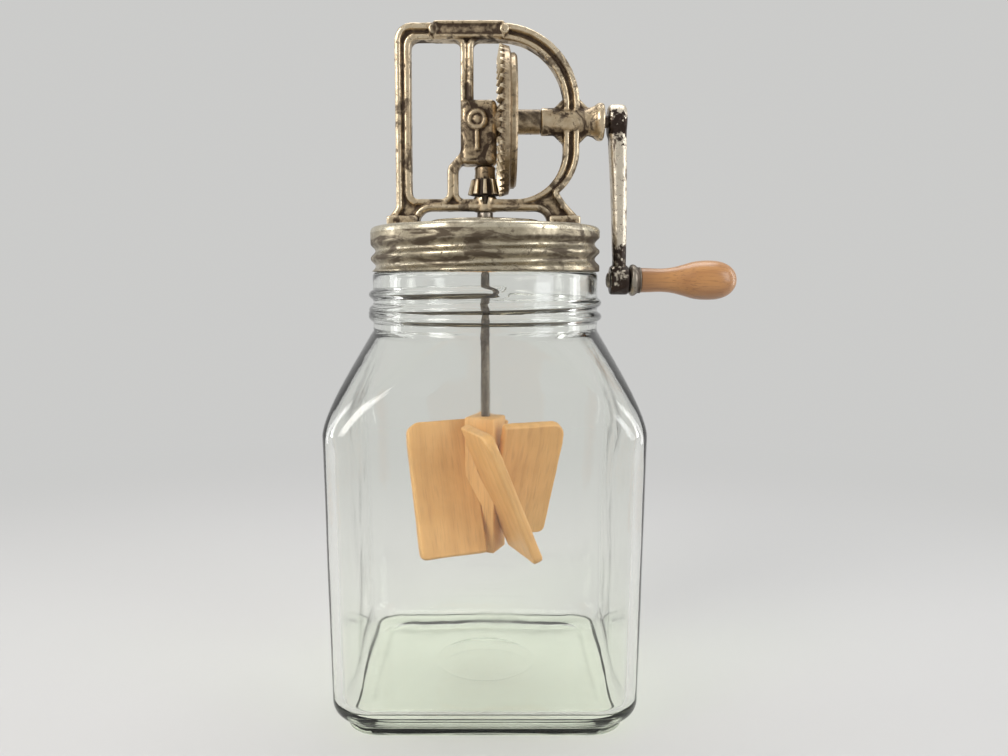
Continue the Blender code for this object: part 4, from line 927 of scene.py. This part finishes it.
frame_edge = filleted([
    (-51.2, 250.9, 0.5), (-51.2, 255.3, 1.5), (-47.1, 260.3, 3.5), (-47.1, 354.6, 9.0),
    (49.6, 354.6, 42.0), (49.6, 276.7, 27.6), (39.0, 268.0, 0.5), (43.0, 262.3, 1.5),
    (49.6, 255.3, 1.5), (49.6, 250.9, 0.5), (33.1, 250.9, 0.3), (33.1, 258.8, 6.2),
    (-35.0, 258.8, 6.2), (-35.0, 250.9, 0.3),
])
grip_window = filleted([
    (-38.8, 264.8, 3.5), (-38.8, 346.3, 3.5), (-12.8, 346.3, 3.5),
    (-12.8, 289.0, 5.0), (-19.9, 281.3, 5.0), (-19.9, 264.8, 3.5),
])
gear_window = filleted([
    (-6.1, 346.3, 3.5), (-6.1, 314.5, 0), (5.0, 314.5, 0), (5.0, 283.7, 0),
    (-14.2, 283.7, 5.0), (-14.2, 264.8, 3.5), (41.3, 264.8, 25.2), (41.3, 346.3, 33.7),
])
frame_loops = (frame_edge, grip_window, gear_window)
print("outline points", [len(loop) for loop in frame_loops])

# %% Frame plate
PLATE_DEPTH = 11.0


def flat_plate(name, loops, depth):
    """A plate in XZ, centred on Y, from an outline and its windows in millimetres."""
    curve = bpy.data.curves.new(name, "CURVE")
    curve.dimensions, curve.fill_mode = "2D", "BOTH"
    curve.extrude = depth / 2 * MM
    for loop in loops:
        spline = curve.splines.new("POLY")
        spline.points.add(len(loop) - 1)
        for point, (x, z) in zip(spline.points, loop):
            point.co = (x * MM, z * MM, 0, 1)
        spline.use_cyclic_u = True
    only(place_new(name, curve))
    bpy.ops.object.convert(target="MESH")
    piece = put(bpy.context.object, turn=(QUARTER, 0, 0))
    with editing(piece):
        bpy.ops.mesh.remove_doubles(threshold=WELD)
        bpy.ops.mesh.normals_make_consistent(inside=False)
    return piece


plate = melted(flat_plate("frame_plate", frame_loops, PLATE_DEPTH), 0.45)
print("plate points", len(plate.data.vertices))

# %% [markdown]
# The bars are channels: a broad rounded flange runs round the outside, a groove lies within it,
# and a lower ridge borders each window. How far a point lies from the outline and from the
# windows says how deep it is, so the channel turns every corner cleanly, which an inset wouldn't.

# %% Channels in the frame's bars
def distance_to(spots, loop):
    """How far each (x, z) spot lies from a closed outline."""
    best = np.full(len(spots), 1e9)
    corners = np.array([tuple(p) for p in loop])
    for start, end in zip(corners, np.roll(corners, -1, axis=0)):
        way = end - start
        share = np.clip((spots - start) @ way / max(way @ way, 1e-9), 0, 1)
        best = np.minimum(best, np.hypot(*(spots - start - share[:, None] * way).T))
    return best


points = points_of(plate) / MM
from_edge, *from_windows = (distance_to(points[:, [0, 2]], loop) for loop in frame_loops)
from_window = np.minimum(*from_windows)
past_flange = eased(from_edge, 2.7, 4.1)
broad = 0.7 * (points[:, 0] < -37)
channel = 0.7 * past_flange + 1.7 * past_flange * eased(from_window, 2.2 + broad, 3.8 + broad)
nearest = np.clip(np.minimum(from_edge / 1.6, from_window / 1.2), 0, 1)
channel += 1.5 * (1 - np.sqrt(1 - (1 - nearest) ** 2))
face = np.abs(points[:, 1]) > 4.9
points[face, 1] = (np.sign(points[:, 1]) * (PLATE_DEPTH / 2 - channel))[face]
move_points(plate, points * MM)
print("channel depth", round(float(channel[face].max()), 2), "mm")

# %% Frame lumps
def along_x(piece, height=SHAFT_Z):
    return put(piece, (0, 0, height), (0, QUARTER, 0))


def frame_lumps():
    """Feet, bearing block, bosses, the bare plate on the top bar and webs by the long bearing."""
    lumps = [
        boxed("foot_left", (-51.8, -10, 250.3), (-35.6, 10, 255.9), 1.1),
        boxed("foot_right", (33.7, -10, 250.3), (50.2, 10, 255.9), 1.1),
        boxed("block", (-12.8, -8, 282.5), (6.2, 8, 315.7), 3.0, 4),
        boxed("rib", (-5.2, -8.8, 289.6), (-3.0, 8.8, 303), 0.6, 2),
        boxed("top_plate", (-26.8, -6.7, 346.7), (10, 6.7, 355.3), 0.9),
    ]
    for side in (-1, 1):
        with editing(lumps[-1], "FACE", lambda face: face.normal.y * side > 0.99):
            bpy.ops.mesh.inset(thickness=0.5 * MM, depth=0)
            bpy.ops.mesh.inset(thickness=0.5 * MM, depth=-0.8 * MM)
    bearing = [
        (6.6, 29.3), (7.1, 29.9), (7.1, 52.5), (7.3, 55.0), (8.0, 57.3), (9.3, 58.9),
        (9.8, 60.0), (9.8, 61.6), (9.3, 62.6),
    ]
    lumps += [
        along_x(turned("hub", [(7.7, 0), (7.7, 12.6), (7.3, 13.1)])),
        along_x(turned("bearing", bearing)),
        turned("rod_boss", [(5.6, 258.2), (6.1, 258.8), (6.1, 265.4), (5.7, 266.4)]),
    ]
    for side in (-1, 1):
        turn = (-side * QUARTER, 0, 0)
        ring = [(5.3, 7.0), (5.3, 8.6), (4.7, 9.2), (3.3, 9.2), (2.5, 8.6), (1.9, 8.9), (0.6, 9.2)]
        lumps.append(put(turned("boss", ring), (-4.1, 0, SHAFT_Z), turn))
        knob = turned("knob", [(1.9, 2.0), (1.9, 4.9), (1.3, 5.4)], 24)
        lumps.append(put(knob, (41.6, 0, 260.9), turn))
    for x in (-26.8, 10.0):
        scroll = turned("scroll", [(2.0, -7.4), (2.5, -7.0), (2.5, 7.0), (2.0, 7.4)], 32)
        lumps.append(put(scroll, (x, 0, 351.0), (QUARTER, 0, 0)))
    for z in (SHAFT_Z - 6.4, SHAFT_Z + 6.4):
        for x in (42.0, 48.6):
            web = boxed("web", (-4.3, -2.8, -4.3), (4.3, 2.8, 4.3), 0.6)
            lumps.append(put(web, (x, 0, z), (0, math.pi / 4, 0)))
    return lumps


lumps = frame_lumps()
print("lumps", len(lumps))

# %% Frame casting
casting_piece = melted(joined("gear_frame_casting", [plate] + lumps), 0.51, 4)
bores = [
    along_x(turned("shaft_bore", [(3.4, -8.3), (3.4, 66)], 48)),
    turned("rod_bore", [(2.65, 255), (2.65, 270)], 40),
    turned("rod_socket", [(2.65, 280), (2.65, 290.5)], 40),
]
cut(casting_piece, joined("bores", bores))
notch = boxed("notch", (-2.3, -9, 262.0), (2.3, -1.2, 268.5))
for vertex in notch.data.vertices:
    if vertex.co.z < 265 * MM:
        vertex.co.x *= 0.5
cut(casting_piece, notch)
roughen(casting_piece, (240, 0.09), (620, 0.06))


def held_dirt(relief, points):
    """More dirt stays on the bearing block and on the plate in the top bar."""
    x, _, z = points.T
    block = eased(x, -12.5, -9) * eased(-x, -6, -3) * eased(z, 283, 288) * eased(-z, -317, -312)
    top_plate = (z > 347) * (np.abs(x + 8.4) < 18)
    return relief - 0.30 * (block + top_plate)


mark_relief(casting_piece, 14, 0.34, held_dirt)
settle(casting_piece, "lid", casting, "gear_frame", angle=50)

# %% [markdown]
# ## Gear and pinion
# The teeth have to mesh exactly, so their form is taken from the solids: a copy is merged, its
# edges are broken and it is cut finer. The depth of each point between the teeth is known from
# the gear's cone, and it is kept as relief, so dirt lies in the roots and the tips shine.

# %% Gear and pinion
CONE = Vector((10 / 44, 1)).normalized()


def toothed(name, node, body, depth_rule, cuts):
    """A gear from its solid, cut finer, with how deep each point lies as its relief."""
    piece = softened(node, 0.14)
    piece.name = name
    with editing(piece):
        bpy.ops.mesh.quads_convert_to_tris()
        bpy.ops.mesh.subdivide(number_cuts=cuts)
    keep(piece, "relief", np.clip(depth_rule(points_of(piece) / MM), -1, 1))
    settle(piece, body, gear_metal, node, angle=35)


def gear_depth(points):
    """Towards 1 at the gear's tooth tips and -1 at their roots."""
    reach = np.hypot(points[:, 1], points[:, 2] - SHAFT_Z)
    depth = -points[:, 0] * CONE.y + reach * CONE.x
    return np.where((reach > 30) & (depth > -1.0), (depth + 0.2) / 0.7, 0.15)


def pinion_depth(points):
    reach = np.hypot(points[:, 0], points[:, 1])
    depth = reach * CONE.y - (SHAFT_Z - points[:, 2]) * CONE.x
    return np.where(points[:, 2] < 275.5, depth + 0.4, 0.1)


toothed("bevel_gear", "drive_gear", "crank", gear_depth, 3)
toothed("bevel_pinion", "pinion", "dasher", pinion_depth, 2)

# %% [markdown]
# ## Crank
# The crank is forged: a round head, an arm that tapers and leans outwards, and a round lug. The
# arm is a box that is cut across, narrowed and leant in edit mode. Head, arm and lug are then
# melted together and bored for the shaft, the spindle and the pin.

# %% Crank
SPINDLE_Z = 222.1
ARM_LOW, ARM_HIGH, ARM_CUTS = 224.5, 303.0, 8
head = [(7.4, 64.8), (8.5, 65.4), (9.0, 66.6), (9.0, 72.0), (8.5, 73.5), (7.3, 74.3), (4.0, 74.4)]
head = along_x(turned("head", head))
lug = [(7.0, 67.1), (7.8, 67.9), (7.8, 76.3), (7.0, 77.1)]
lug = along_x(turned("lug", lug), SPINDLE_Z)
arm = boxed("arm", (-4.7, -6.5, ARM_LOW), (4.7, 6.5, ARM_HIGH))
with editing(arm):
    for level in range(1, ARM_CUTS + 1):
        height = ARM_LOW + (ARM_HIGH - ARM_LOW) * level / (ARM_CUTS + 1)
        bpy.ops.mesh.select_all(action="SELECT")
        bpy.ops.mesh.bisect(plane_co=(0, 0, height * MM), plane_no=(0, 0, 1))
for vertex in arm.data.vertices:
    share = (SHAFT_Z - vertex.co.z / MM) / (SHAFT_Z - SPINDLE_Z)
    vertex.co.x *= 1 - 0.30 * share
    vertex.co.y *= 1 - 0.25 * share
    vertex.co.x += (69.6 + 2.6 * share + 0.5 * math.sin(share * math.pi)) * MM
modify(arm, "BEVEL", width=3.1 * MM, segments=5, angle_limit=math.radians(50))
crank = melted(joined("crank_forging", [arm, head, lug]), 0.42, 8)
holes = [
    along_x(turned("seat", [(3.45, 60), (3.45, 71.9)], 40)),
    along_x(turned("eye", [(2.8, 60), (2.8, 80)], 40), SPINDLE_Z),
    put(turned("pin_hole", [(1.65, 300), (1.65, 320)], 24), (68.4, 0, 0)),
]
cut(crank, joined("holes", holes))
roughen(crank, (330, 0.10))
mark_relief(crank, 14, 0.4)
settle(crank, "crank", crank_plate, "crank_arm", angle=50)

# %% [markdown]
# ## Shaft, rod, spindle and pins
# These are plain turned pieces. Each is a ring extruded through a few stations with small
# chamfers, fine enough to look round up close. The foot screws and the bush are mostly hidden, so
# they are the solids themselves with broken edges.

# %% Shaft, rod and spindle
def fixing(piece, body, node):
    """Finishes a small steel piece."""
    mark_relief(piece, 2, 0.2)
    settle(piece, body, steel, node, angle=45)


SHAFT_R, ROD_R = 3.15, 2.35
shaft = [(2.8, -8.0), (SHAFT_R, -7.6), *((SHAFT_R, x) for x in range(-6, 70, 4))]
shaft += [(SHAFT_R, 71.3), (2.8, 71.7)]
fixing(along_x(turned("round_shaft", shaft, 48)), "crank", "drive_shaft")
rod = [(2.0, 80.0), (ROD_R, 80.4), *((ROD_R, z) for z in range(84, 286, 6))]
rod += [(ROD_R, 289.8), (2.0, 290.2)]
fixing(turned("round_rod", rod, 40), "dasher", "dasher_rod")
spindle = [
    (1.2, 65.2), (2.6, 65.35), (3.7, 65.8), (4.2, 66.5), (4.2, 66.8), (2.5, 66.8),
    (2.5, 80), (2.5, 100), (2.5, 125.1), (2.1, 125.5),
]
fixing(along_x(turned("rivet_spindle", spindle, 40), SPINDLE_Z), "crank", "handle_spindle")

# %% Cross pins, screws and bush
X, Z = 0, 2
UPRIGHT, ACROSS = (0, 0, 0), (0, QUARTER, 0)
DASHER_TURN = math.radians(22)
BLOCK_TURN = DASHER_TURN - math.pi / 4


def ends_of(node, axis):
    return [corner[axis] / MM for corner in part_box(node)]


def middle_of(node, axis):
    low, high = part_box(node)
    return (low[axis] + high[axis]) / 2 / MM


pins = [
    ("hub_cross_pin", "crank", "gear_pin", 1.4, (-6.1, 6.1), UPRIGHT,
     (middle_of("gear_pin", X), 0, SHAFT_Z)),
    ("head_pin", "crank", "crank_pin", 1.4, ends_of("crank_pin", Z), UPRIGHT,
     (middle_of("crank_pin", X), 0, 0)),
    ("pinion_cross_pin", "dasher", "pinion_pin", 1.4, ends_of("pinion_pin", X), ACROSS,
     (0, 0, middle_of("pinion_pin", Z))),
    ("dasher_pin", "dasher", "hub_pin", 1.2, (-8.2, 8.2), (0, QUARTER, BLOCK_TURN), (0, 0, 86.0)),
]
for name, body, node, radius, (low, high), turn, place in pins:
    tip = radius * 0.75
    stations = [(tip, low), (radius, low + 0.35), (radius, high - 0.35), (tip, high)]
    fixing(put(turned(name, stations, 28), place, turn), body, node)
for node in [f"foot_screw_{number}" for number in range(1, 5)] + ["rod_bush"]:
    fixing(softened(node, 0.25), "lid", node)

# %% [markdown]
# ## Grip and ferrule
# The grip is turned on a lathe, so a ring that follows its outline is all it needs. The outline
# is a smooth curve through a few measured radii. The grain runs along the grip, and the direction
# is kept on the mesh for the wood to read.

# %% Grip and ferrule
def smooth_line(spots, count):
    """Points on a smooth curve through (along, radius) spots."""
    spots = [Vector(s) for s in spots]
    spots = [2 * spots[0] - spots[1]] + spots + [2 * spots[-1] - spots[-2]]
    line = []
    for i in range(count):
        travel = i / (count - 1) * (len(spots) - 3)
        k = min(int(travel), len(spots) - 4)
        t = travel - k
        a, b, c, d = spots[k : k + 4]
        square, cube = 2 * a - 5 * b + 4 * c - d, 3 * b - a - 3 * c + d
        line.append(0.5 * (2 * b + (c - a) * t + square * t**2 + cube * t**3))
    return line


outline = smooth_line([
    (83.8, 6.6), (88.0, 6.5), (95.0, 6.3), (101.0, 6.9), (106.5, 8.3), (112.6, 10.0),
    (118.5, 10.55), (124.5, 10.3), (129.2, 9.0), (132.4, 6.9), (134.5, 4.2), (135.3, 1.6),
], 58)
stations = [(2.8, 125.8), (2.8, 100.0), (2.8, 83.8), (6.0, 83.65)]
stations += [(p.y, p.x) for p in outline] + [(0.0, 135.4)]
grip = along_x(turned("turned_grip", stations, 96), SPINDLE_Z)
x, y, z = points_of(grip).T
keep(grip, "lay", np.stack([y, z - SPINDLE_Z * MM, x], 1))
settle(grip, "handle", grip_wood, "wood_handle", angle=60)

cap = [
    (2.8, 77.4), (6.0, 77.4), (7.4, 77.8), (8.3, 78.6), (8.5, 79.6), (8.2, 80.6), (7.5, 81.4),
    (7.0, 82.0), (6.95, 82.8), (7.1, 83.3), (6.6, 83.6), (2.8, 83.6),
]
ferrule = along_x(turned("grip_ferrule", cap, 72, hollow=True), SPINDLE_Z)
mark_relief(ferrule, 3, 0.3)
settle(ferrule, "handle", steel, "handle_ferrule", angle=50)

# %% [markdown]
# ## Dasher
# Four boards stand in slanted slots in a square block, like the blades of a propeller. A board is
# a box whose outer corners are bevelled round and whose edges are worn. One is made and the
# others are copies, turned a quarter each.

# %% Dasher boards
BLADE_CENTRE, BLADE_TILT, BOARDS = 109.6, math.radians(22.5), 4
BOARD_LOW, BOARD_HIGH = (5.0, -2.6, -36.6), (41.7, 2.6, 36.6)
TOP_CORNER, FOOT_CORNER, WORN_EDGE = 7.5, 3.4, 0.8


def board_place(number):
    """Where a board stands in the churn."""
    turn = Matrix.Rotation(DASHER_TURN - QUARTER + number * QUARTER, 4, "Z")
    lift = Matrix.Translation((0, 0, BLADE_CENTRE * MM))
    return lift @ turn @ Matrix.Rotation(BLADE_TILT, 4, "X")


first = boxed("dasher_board", BOARD_LOW, BOARD_HIGH)
for height, radius in ((BOARD_HIGH[2], TOP_CORNER), (BOARD_LOW[2], FOOT_CORNER)):
    def at_corner(line):
        ends = [first.data.vertices[v].co / MM for v in line.vertices]
        return all(abs(p.x - BOARD_HIGH[0]) < 0.01 and abs(p.z - height) < 0.01 for p in ends)

    with editing(first, "EDGE", at_corner):
        bpy.ops.mesh.bevel(offset=radius * MM, segments=7, affect="EDGES")
modify(first, "BEVEL", width=WORN_EDGE * MM, segments=3, angle_limit=math.radians(50))
melted(first, 0.65, 2)
for number in range(BOARDS):
    name = f"dasher_board_{number + 1}"
    piece = first if number == BOARDS - 1 else place_new(name, first.data.copy())
    piece.name = name
    keep(piece, "lay", points_of(piece) + np.array([0.031, 0.007, 0.05]) * number)
    roughen(piece, (60, 0.22), (260, 0.07), seed=number * 3.7)
    piece.data.transform(board_place(number))
    settle(piece, "dasher", dasher_wood, f"dasher_blade_{number + 1}", angle=60)

# %% Dasher block
block = boxed("dasher_block", (-8.5, -8.5, 73.7), (8.5, 8.5, 147.0), 1.0)
slots = [boxed("slot", (4.8, -2.75, -36.9), (43, 2.75, 36.9)) for _ in range(BOARDS)]
for number, slot in enumerate(slots):
    slot.data.transform(Matrix.Rotation(-BLOCK_TURN, 4, "Z") @ board_place(number))
cut(block, joined("slots", slots))
cut(block, turned("rod_hole", [(2.65, 79.7), (2.65, 150)], 32))
keep(block, "lay", points_of(block) + np.array([0.011, 0.004, 0]))
put(block, turn=(0, 0, BLOCK_TURN))
settle(block, "dasher", dasher_wood, "dasher_hub", angle=40)

# %% [markdown]
# ## Finish
# Last, the view layer is brought up to date.

# %% Finish
bpy.context.view_layer.update()
